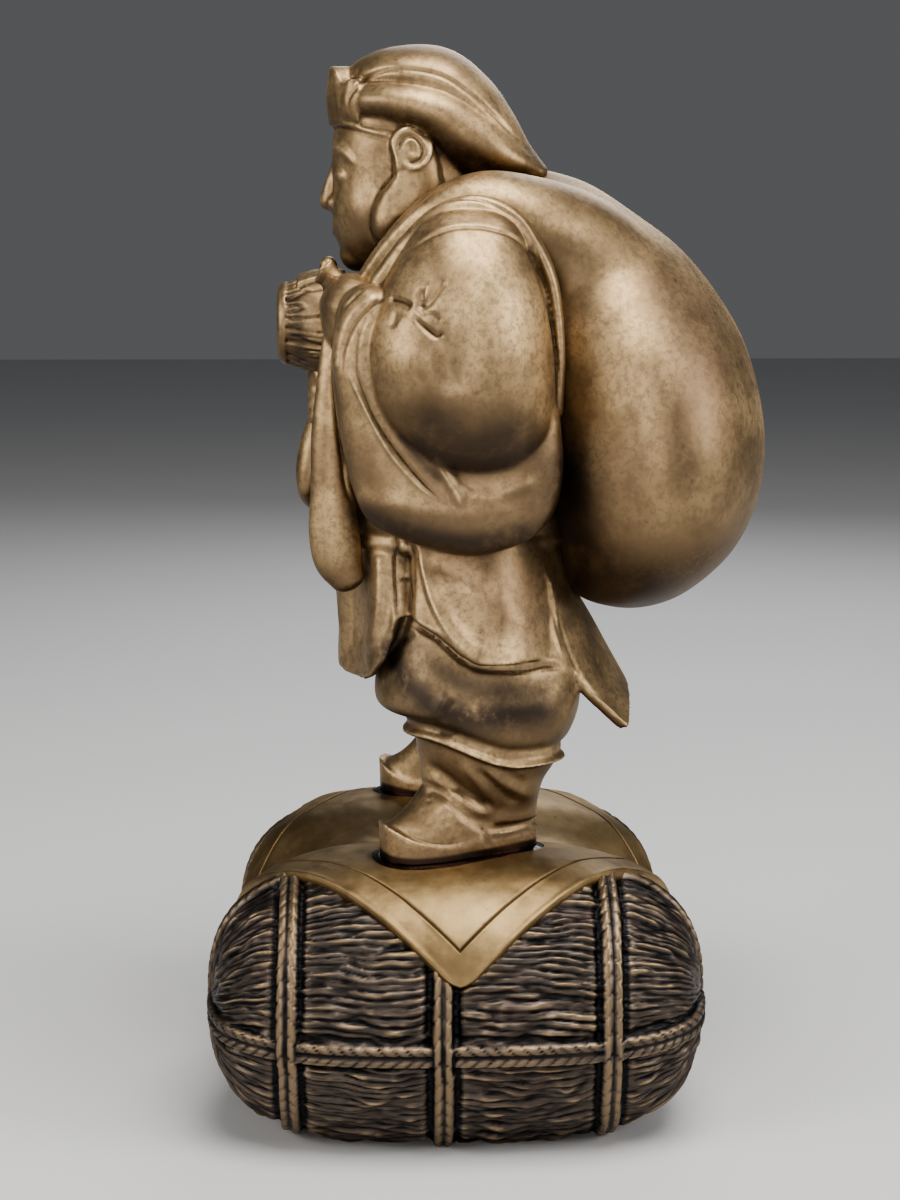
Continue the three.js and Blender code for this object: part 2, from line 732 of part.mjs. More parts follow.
function sackNeck() {
  const rows = [
    [38, -42, 240, 6.5, 7],
    [45, -27, 258.5, 10, 10],
    [51, -9, 273.5, 15, 14],
    [51, 8, 280.5, 20, 17],
    [46, 24, 278.5, 27, 20],
    [35, 45, 265, 32, 29],
    [26, 68, 240, 41, 37],
  ];
  const gathers = (angle, t) => 1.3 * Math.cos(7 * angle) * (1 - ease(t, 0.2, 0.6));
  return limb(rows, { sides: 9, levels: 6, relief: gathers });
}

// The sack's mouth, which flares out of the fist.
function sackMouth() {
  const rows = [
    [37, -46, 244, 4.5, 4.5],
    [35, -50, 250, 4.5, 4.5],
    [33, -53.5, 254.5, 7.5, 7],
    [32, -55.5, 257.5, 11, 9.5],
  ];
  const waves = (angle, t) => 1.4 * Math.cos(5 * angle) * t;
  return limb(rows, { sides: 9, levels: 3, round: false, relief: waves });
}

// A closed hand round something upright: its four fingers are the waves down its front.
function fist([x, y, z], lean = 0) {
  const [reach, size] = [10, 15];
  const rings = steps(8, (t) => {
    const up = (t - 0.5) * 2;
    const knuckle = 1.2 * Math.cos(up * 4 * Math.PI);
    const round = Math.sqrt(Math.max(0.05, 1 - (up * 0.92) ** 4));
    return steps(7, (s) => s * 2 * Math.PI)
      .slice(0, -1)
      .map((angle) => {
        const out = reach * round - knuckle * Math.max(0, -Math.sin(angle));
        return point(
          x + (out + 1.5) * Math.cos(angle),
          y + out * Math.sin(angle) - up * size * Math.sin(radians(lean)),
          z + up * size * Math.cos(radians(lean)),
        );
      });
  });
  return solid(skin(rings));
}

// Mallet: a barrel of grained wood, held by its upright handle
const MALLET = { x: 2, y: -56, z: 231.5, halfLength: 23, endRadius: 16.7, middleRadius: 23.5 };

function mallet() {
  const { x, y, z, halfLength, endRadius, middleRadius } = MALLET;
  const sides = 16;
  const radiusAt = (along) => mix(middleRadius, endRadius, Math.abs(along / halfLength) ** 1.8);
  const places = [-1, -0.86, -0.82, 0, 0.82, 0.86, 1].map((s) => s * halfLength);
  const rings = places.map((along) =>
    steps(sides, (s) => s * 2 * Math.PI)
      .slice(0, -1)
      .map((angle, i) => {
        const grained = Math.abs(along) < halfLength * 0.85;
        const radius = radiusAt(along) - (grained ? 0.5 + (i % 2) * 1.1 : 0);
        return point(x + radius * Math.cos(angle), y + along, z + radius * Math.sin(angle));
      }),
  );
  const handle = limb([[x, y, z - 62, 4, 4], [x, y, z + 28, 4, 4]], { sides: 6, levels: 1, round: false });
  const plate = new THREE.BoxGeometry(24, 21, 8).translate(x + 3, y - 3, z + middleRadius - 2.5);
  return join([solid(skin(rings)), handle, solid(plate)]);
}

// Head
const HEAD = { y: -20, z: 298 };

function head() {
  const { y, z } = HEAD;
  // z, x, y, half width, half depth
  const rows = [
    [z - 48, 0, y + 10, 15, 17],
    [z - 41, 0, y, 19, 23],
    [z - 32, 0, y - 1, 26, 30],
    [z - 18, 0, y - 1, 31, 33],
    [z - 4, 0, y, 32, 33],
    [z + 10, 0, y, 32, 34],
    [z + 26, 0, y, 30, 32],
  ];
  const skull = column(rows, { sides: 14, levels: 6, roundness: 2.2 });
  const nose = limb(
    [
      [0, y - 31, z + 5, 2.5, 3],
      [0, y - 33.5, z - 6, 4, 4],
      [0, y - 34, z - 12, 6, 4.5],
    ],
    { sides: 6, levels: 2 },
  );
  const lips = limb(
    [
      [-10, y - 27.5, z - 24, 1.5, 2],
      [0, y - 31.5, z - 25.5, 2.8, 3],
      [10, y - 27.5, z - 24, 1.5, 2],
    ],
    { sides: 5, levels: 2, across: point(0, 1, 0), round: false },
  );
  const lids = [-1, 1].map((side) => ellipsoid([side * 13, y - 29, z - 1], [7, 4, 3.6], 6));
  return join([skull, nose, lips, ...lids]);
}

// An ear and its long heavy lobe.
function ear() {
  const outline = [
    [-20, 318],
    [-27, 314],
    [-27, 303],
    [-27.5, 296],
    [-33.5, 288],
    [-37, 277],
    [-33.5, 267],
    [-24, 265],
    [-12, 276],
    [-5, 290],
    [-8, 308],
  ];
  return cushion(outline, { inner: 24, outer: 39, points: 12 });
}

// Hat: a soft crown over a puffed roll, and a plate standing up in front
function hat() {
  // y, z, half width, half height
  const roll = [
    [-47, 328, 18, 6],
    [-40, 328.5, 30, 10.5],
    [-26, 328, 36.5, 14],
    [-8, 323.5, 39.5, 17],
    [6, 314, 38.5, 19],
    [19, 306, 36, 15],
    [30, 301.5, 30, 9.5],
    [38, 298.5, 20, 4.5],
  ];
  const crown = [
    [-45, 335, 10, 6],
    [-38, 339, 22, 10],
    [-25, 340.5, 30, 13.5],
    [-8, 337.5, 33, 16.5],
    [6, 329, 33, 15],
    [17, 318, 31, 12.5],
    [28, 307, 26, 8],
    [38, 300, 16, 3],
  ];
  const puff = (rows) =>
    limb(
      rows.map(([y, z, wide, high]) => [0, y, z, wide, high]),
      { sides: 12, levels: 6 },
    );
  return join([puff(roll), puff(crown), hatPlate()]);
}

// The upright plate over the forehead, with a notch on either side of its point.
function hatPlate() {
  const at = (out) => (u, v) => {
    const across = 2 * u - 1;
    const turn = radians(across * 52);
    const peak = 345 - 8 * bump(Math.abs(across) - 0.67, 0.22);
    const radius = 35 + 1.5 * Math.sin(Math.PI * v) - out;
    return point(radius * Math.sin(turn) * 0.94, HEAD.y - radius * Math.cos(turn), mix(peak, 319, v));
  };
  return sheet(at(0), at(6.5), 6, 1);
}

// The figure stands on the base: its soles are cut to the cloth they rest on.
function makeFigure(base) {
  const leg = join([shoe(), trouserLeg()]);
  const whole = join([
    leg,
    mirrored(leg),
    skirt(),
    coatTail(),
    torso(),
    collar(),
    mirrored(collar()),
    sash(),
    leftSleeve(),
    rightSleeve(),
    armholeBand(),
    sack(),
    sackNeck(),
    sackMouth(),
    fist([39, -49, 238], 12),
    fist([MALLET.x - 2, MALLET.y, 197]),
    mallet(),
    head(),
    ear(),
    mirrored(ear()),
    hat(),
  ]);
  const size = point(figureScale, figureScale, figureScale);
  const placed = new THREE.Matrix4().makeTranslation(0, 0, soleZ()).scale(size);
  return solid(geometryOf(whole).applyMatrix4(placed)).subtract(base.translate([0, 0, SOLE_GAP]));
}

// The height of the cloth's top over the ridge of a bale.
function soleZ() {
  return BALE_HEIGHT + CLOTH_THICKNESS + SOLE_GAP;
}

function mesh(name, made, look) {
  const geometry = geometryOf(made);
  geometry.computeVertexNormals();
  const material = new THREE.MeshStandardMaterial({ ...look, flatShading: true });
  const piece = new THREE.Mesh(geometry, material);
  piece.name = name;
  return piece;
}

const object = new THREE.Group();
object.name = "daikoku_on_rice_bales";
const base = makeBase();
const figure = makeFigure(base);
object.add(mesh("rice_bales", base, { color: 0x5a4a3c, roughness: 0.55, metalness: 0.9 }));
object.add(mesh("figure", figure, { color: 0x9c8360, roughness: 0.4, metalness: 1 }));

// The origin goes to the middle of the whole object's box, at its foot.
const box = new THREE.Box3().setFromObject(object);
const middle = box.getCenter(point(0, 0, 0));
object.position.set(-middle.x, -middle.y, -box.min.z);

export default object;
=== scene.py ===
"""Daikoku on two bales of rice: a golden bronze figure on a dark bronze base, in a pale studio."""
import math

import bpy
import numpy as np
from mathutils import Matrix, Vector, kdtree
from mathutils.bvhtree import BVHTree


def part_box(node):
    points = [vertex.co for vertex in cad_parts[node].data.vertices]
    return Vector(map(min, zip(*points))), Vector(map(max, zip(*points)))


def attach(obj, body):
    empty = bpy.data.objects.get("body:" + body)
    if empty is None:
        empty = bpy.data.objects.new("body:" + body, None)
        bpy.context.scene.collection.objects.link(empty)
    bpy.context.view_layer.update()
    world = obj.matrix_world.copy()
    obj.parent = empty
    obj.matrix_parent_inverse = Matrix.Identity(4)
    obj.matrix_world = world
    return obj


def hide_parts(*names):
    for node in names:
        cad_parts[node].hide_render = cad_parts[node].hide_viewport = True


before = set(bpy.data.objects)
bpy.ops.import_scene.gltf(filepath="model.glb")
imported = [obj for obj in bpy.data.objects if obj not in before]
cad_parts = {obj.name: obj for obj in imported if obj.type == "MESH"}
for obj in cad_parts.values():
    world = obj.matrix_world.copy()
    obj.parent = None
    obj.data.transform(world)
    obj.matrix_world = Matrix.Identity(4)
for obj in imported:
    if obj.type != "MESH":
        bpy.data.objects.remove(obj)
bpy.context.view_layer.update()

# The figure is drawn in millimetres over its soles, with the same tables as its solid. This is the box
# that the solid fills there, so that the drawing goes where the solid is.
DRAWN_LOW = np.array([-103.2, -79.0, -4.07])
DRAWN_HIGH = np.array([105.0, 139.84, 354.56])
solid_low, solid_high = (np.array(corner) * 1000 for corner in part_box("figure"))
SCALE = (solid_high[2] - solid_low[2]) / (DRAWN_HIGH[2] - DRAWN_LOW[2])
SHIFT = (solid_low + solid_high) / 2 - SCALE * (DRAWN_LOW + DRAWN_HIGH) / 2
SHIFT[2] = solid_high[2] - SCALE * DRAWN_HIGH[2]

# The camera, in the row frame. The photograph is 900 by 1200.
EYE = np.array([1050.0, -45.9, 400.0])
PITCH = math.radians(9.24)  # down
YAW = math.radians(1.67)  # towards +Y
FOCAL = 2296.0  # in the photograph's pixels
PHOTO = (900, 1200)
AHEAD = np.array([-math.cos(PITCH) * math.cos(YAW), math.cos(PITCH) * math.sin(YAW), -math.sin(PITCH)])
RIGHT = np.array([math.sin(YAW), math.cos(YAW), 0.0])
UP = np.cross(RIGHT, AHEAD)

TAU = 2 * math.pi
GRAZING = 0.02  # how far a face has to turn to the camera to show at all
RAY_LIFT = 0.6  # how far over the surface a ray to the camera starts
STEP_REACH, STEP_MARGIN = 12, 16  # how far a step runs out to either side, in the photograph's pixels
TAPER = 0.2  # the share of a stroke over which each of its ends fades
FINE_REACH, BROAD_REACH = 1.8, 7.0  # the sizes of the hollows that the patina gathers in


# Small helpers
def stacked(*parts):
    """Points, or the corners of triangles, from their parts."""
    return np.stack(np.broadcast_arrays(*parts), -1)


def mix(a, b, t):
    return a + (b - a) * t


def bump(distance, width):
    """A bell, 1 in the middle."""
    return np.exp(-((distance / width) ** 2))


def ease(v, low, high):
    """0 up to low, 1 from high, and smooth between them."""
    t = np.clip((v - low) / (high - low), 0, 1)
    return t * t * (3 - 2 * t)


def power(v, exponent):
    return np.sign(v) * np.abs(v) ** exponent


def turns(count):
    return np.arange(count) * TAU / count


def rounded(angle, roundness):
    """An oval's cosine and sine: 2 is an ellipse, and higher is squarer."""
    return power(np.cos(angle), 2 / roundness), power(np.sin(angle), 2 / roundness)


def spline(rows, t, closed=False):
    """The rows at t, from 0 to 1, on a smooth curve through them."""
    rows = np.asarray(rows, float)
    spans = len(rows) if closed else len(rows) - 1
    at = np.clip(np.asarray(t, float), 0, 1) * spans
    i = np.minimum(np.floor(at).astype(int), spans - 1)
    f = (at - i)[..., None]

    def row(k):
        return rows[k % len(rows)] if closed else rows[np.clip(k, 0, len(rows) - 1)]

    before, start, end, after = row(i - 1), row(i), row(i + 1), row(i + 2)
    slope_in, slope_out = (end - before) / 2, (after - start) / 2
    cubic = 2 * start - 2 * end + slope_in + slope_out
    square = -3 * start + 3 * end - 2 * slope_in - slope_out
    return ((cubic * f + square) * f + slope_in) * f + start


# Noise: smooth values between the whole numbers, the same each run
LATTICE = np.random.default_rng(11).uniform(-1, 1, 4096)
PRIMES = (73856093, 19349663, 83492791)


def noise(x, y, z=0.0):
    x, y, z = np.broadcast_arrays(np.asarray(x, float), y, z)
    cells = [np.floor(c).astype(np.int64) for c in (x, y, z)]
    soft = [ease(c - cell, 0, 1) for c, cell in zip((x, y, z), cells)]
    total = 0
    for steps in np.ndindex(2, 2, 2):
        i, j, k = (cell + step for cell, step in zip(cells, steps))
        share = 1.0
        for step, s in zip(steps, soft):
            share = share * (s if step else 1 - s)
        total = total + LATTICE[(i * PRIMES[0] ^ j * PRIMES[1] ^ k * PRIMES[2]) % len(LATTICE)] * share
    return total


# Closed forms as (points, triangles)
def skin(rings):
    """A closed form over rings of points, with a fan over each end."""
    rings = np.asarray(rings, float)
    n, m, _ = rings.shape
    i, j = np.meshgrid(np.arange(n - 1), np.arange(m), indexing="ij")
    k = (j + 1) % m
    a, b, c, d = i * m + j, i * m + k, (i + 1) * m + k, (i + 1) * m + j
    faces = [stacked(a, b, c).reshape(-1, 3), stacked(a, c, d).reshape(-1, 3)]
    faces += [stacked(k[0], j[0], n * m), stacked((n - 1) * m + j[0], (n - 1) * m + k[0], n * m + 1)]
    points = np.concatenate([rings.reshape(-1, 3), rings[0].mean(0)[None], rings[-1].mean(0)[None]])
    return outward(points, np.concatenate(faces))


def outward(points, faces):
    """The form with its triangles turned outwards."""
    a, b, c = (points[faces[:, k]] for k in range(3))
    if np.einsum("ij,ij->", a, np.cross(b, c)) < 0:
        faces = faces[:, ::-1]
    return points, faces


def mirrored(form):
    points, faces = form
    return points * np.array([-1, 1, 1]), faces[:, ::-1]


def column(rows, sides=128, levels=64, roundness=2.0):
    """An upright form. Rows are [z, x, y, half width, half depth]."""
    z, x, y, wide, deep = spline(rows, np.linspace(0, 1, levels + 1)).T[:, :, None]
    c, s = rounded(turns(sides), roundness)
    return skin(stacked(x + wide * c, y + deep * s, z))


def limb(rows, sides=64, levels=48, across=(1, 0, 0), round_ends=True, relief=None):
    """A form along a line. Rows are [x, y, z, half width, half height]."""
    t = np.linspace(0, 1, levels + 1)
    rows = spline(rows, t)
    places = rows[:, :3]
    beyond = places[[0, *range(levels + 1), levels]]
    ahead = beyond[2:] - beyond[:-2]
    ahead /= np.linalg.norm(ahead, axis=1)[:, None]
    across = np.asarray(across, float)
    side = across - (ahead @ across)[:, None] * ahead
    side /= np.linalg.norm(side, axis=1)[:, None]
    up = np.cross(ahead, side)
    angle = turns(sides)

    def ring(i, shrink, push):
        wide, high = rows[i, 3:5]
        out = relief(angle, t[i]) if relief else 0
        middle = places[i] + ahead[i] * push * min(wide, high)
        sideways = side[i] * ((wide + out) * shrink * np.cos(angle))[:, None]
        return middle + sideways + up[i] * ((high + out) * shrink * np.sin(angle))[:, None]

    rings = [ring(i, 1, 0) for i in range(levels + 1)]
    if round_ends:
        for turn in np.radians([15, 30, 45, 58, 70, 80]):
            rings.insert(0, ring(0, math.cos(turn), -math.sin(turn)))
            rings.append(ring(levels, math.cos(turn), math.sin(turn)))
    return skin(rings)


def blob(middle, radii, sides=64):
    """An ellipsoid."""
    angle, rings = turns(sides), []
    for tilt in np.radians(np.linspace(-88, 88, sides // 2)):
        wide, high = math.cos(tilt), math.sin(tilt)
        rings.append(stacked(np.cos(angle) * wide, np.sin(angle) * wide, high) * radii)
    points, faces = skin(rings)
    return points + middle, faces


# A cushion's layers: how far out each lies, as a share of its thickness, and its size
UNDERCUT_LAYERS = [[0, 0.2], [0, 0.9], [0.3, 1], [0.58, 1], [0.84, 0.94], [1, 0.7], [1.02, 0.35]]
DOMED_LAYERS = [
    [0, 0.3], [0, 0.96], [0.36, 1], [0.55, 0.95], [0.72, 0.84], [0.88, 0.62], [1, 0.3], [1.01, 0.1],
]


def cushion(outline, inner, outer, layers, count=160):
    """A flat form over an outline of [y, z] rows, from x = inner to x = outer."""
    loop = spline(outline, np.arange(count) / count, True)
    middle = loop.mean(0)
    rings = []
    for out, size in spline(layers, np.linspace(0, 1, 72)):
        rings.append(stacked(mix(inner, outer, out), *(middle + (loop - middle) * size).T))
    return skin(rings)


def sheet(place, front, back, across=72, down=48):
    """A thick sheet between two faces: place(u, v, face) gives a face's points, u and v from 0 to 1."""
    u, v = np.meshgrid(np.linspace(0, 1, across + 1), np.linspace(0, 1, down + 1))
    points = np.concatenate([place(u, v, face).reshape(-1, 3) for face in (front, back)])
    count = (across + 1) * (down + 1)
    grid = np.arange(count).reshape(down + 1, across + 1)
    a, b, c, d = (part.ravel() for part in (grid[:-1, :-1], grid[:-1, 1:], grid[1:, 1:], grid[1:, :-1]))
    faces = [stacked(a, b, c), stacked(a, c, d), stacked(a, c, b) + count, stacked(a, d, c) + count]
    edge = np.concatenate([grid[0, :-1], grid[:-1, -1], grid[-1, :0:-1], grid[:0:-1, 0]])
    then = np.roll(edge, -1)
    faces += [stacked(edge, edge + count, then + count), stacked(edge, then + count, then)]
    return outward(points, np.concatenate(faces))


# Meshes
def new_mesh(name, points, faces):
    mesh = bpy.data.meshes.new(name)
    mesh.from_pydata(points, [], faces.tolist())
    return mesh


def together(forms):
    points, faces = zip(*forms)
    first = np.cumsum([0, *map(len, points)])
    return np.concatenate(points), np.concatenate([f + k for f, k in zip(faces, first)])


def applied(mesh, kind, **settings):
    """A copy of the mesh with one modifier applied."""
    holder = bpy.data.objects.new("holder", mesh)
    bpy.context.scene.collection.objects.link(holder)
    modifier = holder.modifiers.new(kind, kind)
    for key, value in settings.items():
        setattr(modifier, key, value)
    result = bpy.data.meshes.new_from_object(holder.evaluated_get(bpy.context.evaluated_depsgraph_get()))
    bpy.data.objects.remove(holder)
    return result


def read(data, label, width, kind=float):
    """What Blender holds for each point or edge, as the rows of an array."""
    values = np.zeros(len(data) * width, kind)
    data.foreach_get(label, values)
    return values.reshape(-1, width)


class Surface:
    """A mesh with its points and edges as arrays, in drawn millimetres."""

    def __init__(self, mesh):
        self.mesh = mesh
        self.points = read(mesh.vertices, "co", 3)
        self.edges = read(mesh.edges, "vertices", 2, int)
        self.near = np.bincount(self.edges.ravel(), minlength=len(self.points))

    def around(self, values):
        """Each point's neighbours' mean value."""
        if values.ndim > 1:
            return np.stack([self.around(part) for part in values.T], -1)
        a, b = self.edges.T
        count = len(self.points)
        return (np.bincount(a, values[b], count) + np.bincount(b, values[a], count)) / self.near

    def relaxed(self, values, times, share=0.5):
        for _ in range(times):
            values = values + share * (self.around(values) - values)
        return values

    def write(self):
        self.mesh.vertices.foreach_set("co", self.points.ravel())
        self.mesh.update()

    def normals(self):
        self.write()
        return read(self.mesh.vertices, "normal", 3)


def fused(name, *forms):
    """One surface round all the forms of a piece of the figure."""
    voxel, rounds, _ = FIGURE[name]
    surface = Surface(applied(new_mesh("raw", *together(forms)), "REMESH", mode="VOXEL", voxel_size=voxel))
    surface.points = surface.relaxed(surface.points, rounds)
    surface.write()
    return surface


def placed(points):
    """Drawn millimetres to millimetres in the row frame."""
    return points * SCALE + SHIFT


def seen(points, side=1):
    """Where row-frame points show in the photograph, in its pixels. Side -1 looks at the mirror image."""
    away = points * np.array([side, 1, 1]) - EYE
    depth = away @ AHEAD
    x, y = FOCAL * (away @ RIGHT) / depth, FOCAL * (away @ UP) / depth
    return stacked(PHOTO[0] / 2 + x, PHOTO[1] / 2 - y)


def exposed(surface, side=1):
    """How openly each point shows to the camera, from 0 to 1, or to its mirror image on the far side."""
    eye = Vector((EYE - SHIFT) / SCALE * np.array([side, 1, 1]))
    normals = surface.normals()
    towards = np.array(eye) - surface.points
    towards /= np.linalg.norm(towards, axis=1)[:, None]
    facing = np.einsum("ij,ij->i", normals, towards)
    open_to = np.zeros(len(surface.points))
    tree = BVHTree.FromPolygons(surface.points.tolist(), [p.vertices[:] for p in surface.mesh.polygons])
    for i in np.nonzero(facing > GRAZING)[0]:
        start = surface.points[i] + normals[i] * RAY_LIFT
        if tree.ray_cast(Vector(start), Vector(towards[i]))[0] is None:
            open_to[i] = 1
    return open_to * ease(facing, GRAZING, 0.25)


def line_distance(at, line):
    """Signed distance of places from a smooth line, and how far along it the nearest point is, 0 to 1."""
    line = spline(line, np.linspace(0, 1, 12 * (len(line) - 1) + 1))
    start, end = line[:-1], line[1:]
    run = end - start
    length = np.maximum((run**2).sum(1), 1e-9)
    best = np.full(len(at), 1e9)
    along = np.zeros(len(at))
    for k in range(len(start)):
        away = at - start[k]
        t = np.clip(away @ run[k] / length[k], 0, 1)
        off = away - t[:, None] * run[k]
        d = np.hypot(off[:, 0], off[:, 1])
        cross = np.sign(run[k, 0] * away[:, 1] - run[k, 1] * away[:, 0])
        closer = d < np.abs(best)
        best = np.where(closer, d * np.where(cross == 0, 1, cross), best)
        along = np.where(closer, (k + t) / len(start), along)
    return best, along


def near_line(at, line, margin, among):
    """Which of the places lie near a line, how far from it, and how far along it."""
    line = np.reshape(line, (-1, 2)).astype(float)
    inside = (at > line.min(0) - margin).all(1) & (at < line.max(0) + margin).all(1)
    index = np.nonzero(inside & among)[0]
    return index, *line_distance(at[index], line)


def melt(surface, middle, radius, times):
    """Smooths the surface round a place, where two forms should run into each other."""
    share = bump(np.linalg.norm(surface.points - middle, axis=1), radius)[:, None]
    smooth = surface.relaxed(surface.points, times, 0.8)
    surface.points = mix(surface.points, smooth, share)
    surface.write()


def carve(surface, strokes, side=1):
    """Folds, seams and edges, drawn over what shows. Ridges stand out and grooves go in, and both taper
    off at their ends; mounds are soft and don't taper; steps drop to one side of the line.

    A stroke is [kind, height in mm, width in photograph pixels, x, y, x, y ...].
    """
    show = exposed(surface, side)
    at = seen(placed(surface.points), side)
    push = np.zeros(len(surface.points))
    for kind, height, width, *line in strokes:
        margin = 3 * width + (STEP_MARGIN if kind == "step" else 0)
        index, distance, along = near_line(at, line, margin, show > 0)
        shape = bump(distance, width)
        if kind == "step":
            shape = (0.5 - 0.5 * np.tanh(distance / width)) * np.exp(-np.abs(distance) / STEP_REACH)
        if kind != "mound":
            shape = shape * (ease(along, -0.001, TAPER) * ease(1 - along, -0.001, TAPER))
        push[index] += height * shape * show[index]
    surface.points = surface.points + surface.normals() * push[:, None]
    surface.points = surface.relaxed(surface.points, 2, 0.4)
    surface.write()


def stained_and_shaded(surface):
    """How stained each point is, and how much painted shade it gets, from 0 to 1."""
    at = seen(placed(surface.points))
    near_side = ease(surface.normals()[:, 0], -0.2, 0.1)
    stain_and_shade = np.zeros(len(at))
    for share, width, *line in STAINS_AND_SHADE:
        index, distance, _ = near_line(at, line, 3 * width, near_side > 0)
        stain_and_shade[index] = np.maximum(stain_and_shade[index], share * bump(distance, width) * near_side[index])
    return stain_and_shade


# Legs, for the left one: the right is its mirror image
FOOT_X = 58.0
SOLE = {"x": FOOT_X - 3, "y": 1.5, "half_length": 37, "half_width": 15.2, "taper": 3.4, "roundness": 2.3}
FOOT_TURN = math.radians(17)  # the toes point outwards
ANKLE = {"x": FOOT_X - 6.5, "y": 10, "z": 29, "half_width": 15, "half_depth": 24.5}


def sole(angle, grow=1):
    """The sole's outline, and how far in front of its middle each place on it is."""
    c, s = rounded(angle, SOLE["roundness"])
    out = (SOLE["half_width"] + SOLE["taper"] * s) * grow * c
    ahead = SOLE["half_length"] * grow * s
    sine, cosine = math.sin(FOOT_TURN), math.cos(FOOT_TURN)
    return SOLE["x"] + ahead * sine + out * cosine, SOLE["y"] - ahead * cosine + out * sine, ahead


def welt_z(ahead):
    """The welt's height at a distance in front of the sole's middle: it turns up at the toe."""
    low = 12
    return 5.8 + np.where(ahead > low, 0.0165 * (ahead - low) ** 2, 3.2 * ease(low - ahead, 0, 30))


def shoe():
    angle = turns(160)

    def level(z, grow):
        return stacked(*sole(angle, grow)[:2], z)

    def welt(drop, grow):
        x, y, ahead = sole(angle, grow)
        return stacked(x, y, welt_z(ahead) - drop)

    def upper(t):
        x, y, ahead = sole(angle, 0.94)
        rise = mix(1 - (1 - t) ** 2, t**1.7, ease(np.sin(angle), 0.2, 1))
        return stacked(
            mix(x, ANKLE["x"] + ANKLE["half_width"] * np.cos(angle), t),
            mix(y, ANKLE["y"] - ANKLE["half_depth"] * np.sin(angle), t),
            mix(welt_z(ahead) + 0.2, ANKLE["z"] + 1, rise),
        )

    rings = [level(-4.5, 0.9), level(-4.5, 0.965), level(-3, 0.985)]
    rings += [welt(*row) for row in ((3.6, 0.99), (1.6, 1), (0, 1), (-0.5, 0.985), (-0.2, 0.955))]
    return skin(rings + [upper(t) for t in np.linspace(0, 1, 40)])


def leg_ring(z, x, y, wide, deep, folds):
    """A ring round the leg. Below the knee its front rises towards the shin."""
    angle = turns(200)
    fold = folds * np.cos(3 * angle + z * 0.16) * bump(z - 30, 12)
    along = y + (deep + fold) * np.sin(angle)
    rise = mix(10.5, -2.5, ease(along, -16, 28)) * bump(z - 47.5, 12)
    return stacked(x + (wide + fold) * np.cos(angle), along, z + rise)


def leg_part(rows, levels, folds=0.0):
    """Rows are [z, x from the foot's middle, y, half width, half depth]."""
    rows = [[z, FOOT_X + x, *rest] for z, x, *rest in rows]
    return skin([leg_ring(*row, folds) for row in spline(rows, np.linspace(0, 1, levels))])


def leg():
    gaiter = [
        [14, -7.5, 18, 14.5, 18.5], [21, -7, 15, 15.5, 21.5], [28, -6.5, 13, 17.5, 26],
        [35, -6, 13, 19.5, 28.5], [42, -6, 13, 22, 31], [50, -6, 12.5, 23, 31],
    ]
    band = [
        [43.4, -6, 12.5, 20, 28], [43.7, -6, 12.5, 26, 34], [44.2, -6, 12.5, 28.3, 36.3],
        [45.2, -6, 12.5, 28.4, 36.4], [47.3, -6.5, 12.5, 26, 34], [49.2, -7, 12.5, 26.6, 34.6],
        [50.2, -7, 12.5, 26.6, 34.6], [50.8, -7, 12.5, 24.5, 32.5], [50.9, -7, 12.5, 20, 28],
    ]
    trouser = [
        [47, -7.5, 13, 20, 27], [50.6, -7.5, 13, 25, 32.5], [53, -8.3, 12.5, 28.4, 36.6],
        [56, -9.5, 12, 31, 39.5], [61, -11, 11, 33.4, 43], [67, -12.5, 10, 35, 45.5],
        [75, -14.3, 10, 35.6, 45.9], [84, -16, 10.5, 35.5, 45], [100, -20.5, 9, 34.2, 42.8],
        [118, -26, 8, 32, 40],
    ]
    return [shoe(), leg_part(gaiter, 60, 1.3), leg_part(band, 48), leg_part(trouser, 80)]


# The coat below the waist: a panel over each hip, a slit in front of it, and pleated flaps in front
SKIRT_Y = 8
SLIT_ANGLE, SLIT_TOP = 31, 107.0  # in degrees forward of the side
HIP_HEM = [[0, 89], [7, 93], [12, 97], [17, 101], [26, 106]]
FLAP_HEM = [[36, 100], [41, 89], [48, 80], [57, 76], [68, 75], [80, 76], [90, 84]]


def hem_z(forward):
    """The hem's height at angles forward of the side, in degrees, smooth over the slit."""
    hip, flap = (np.interp(forward, *np.transpose(rows)) for rows in (HIP_HEM, FLAP_HEM))
    z = np.where(forward < SLIT_ANGLE - 5, hip, np.where(forward > SLIT_ANGLE + 5, flap, SLIT_TOP))
    kernel = np.hanning(9)
    return np.convolve(np.pad(z, 4, mode="edge"), kernel / kernel.sum(), "valid")


def skirt_relief(forward):
    slit = -6 * bump(forward - SLIT_ANGLE, 3.2)
    pleats = np.where(forward > SLIT_ANGLE, 2.2 * np.cos(np.radians((forward - 47) * 11)), 0)
    return slit + pleats * ease(forward, SLIT_ANGLE + 4, SLIT_ANGLE + 9)


def skirt():
    # z, half width, depth in front, depth behind
    rows = np.array([
        [172, 60, 58, 40], [142, 66, 62, 42], [118, 74, 62, 44], [100, 81, 60, 46], [86, 86, 58.5, 48],
        [66, 89, 57, 50],
    ])
    half = np.linspace(-90, 90, 260)
    forward, hem = (np.concatenate([values, values[-2:0:-1]]) for values in (half, hem_z(half)))
    side = np.where(np.arange(len(forward)) < len(half), 1, -1)
    angle = np.radians(forward)

    def ring(t, shrink):
        z = mix(rows[0, 0], hem, t)
        _, width, front, behind = spline(rows, (rows[0, 0] - z) / (rows[0, 0] - rows[-1, 0])).T
        out = skirt_relief(forward) * ease(t, 0.15, 0.6) + 1.6 * ease(t, 0.8, 1) - shrink
        depth = np.where(forward > 0, front, behind)
        return stacked(side * (width + out) * np.cos(angle), SKIRT_Y - (depth + out) * np.sin(angle), z)

    rings = [ring(0, 25)] + [ring(t, 0) for t in np.linspace(0, 1, 90)]
    return skin(rings + [ring(1, 1.8), ring(1, 3.4), ring(0.93, 5), ring(0.9, 30)])


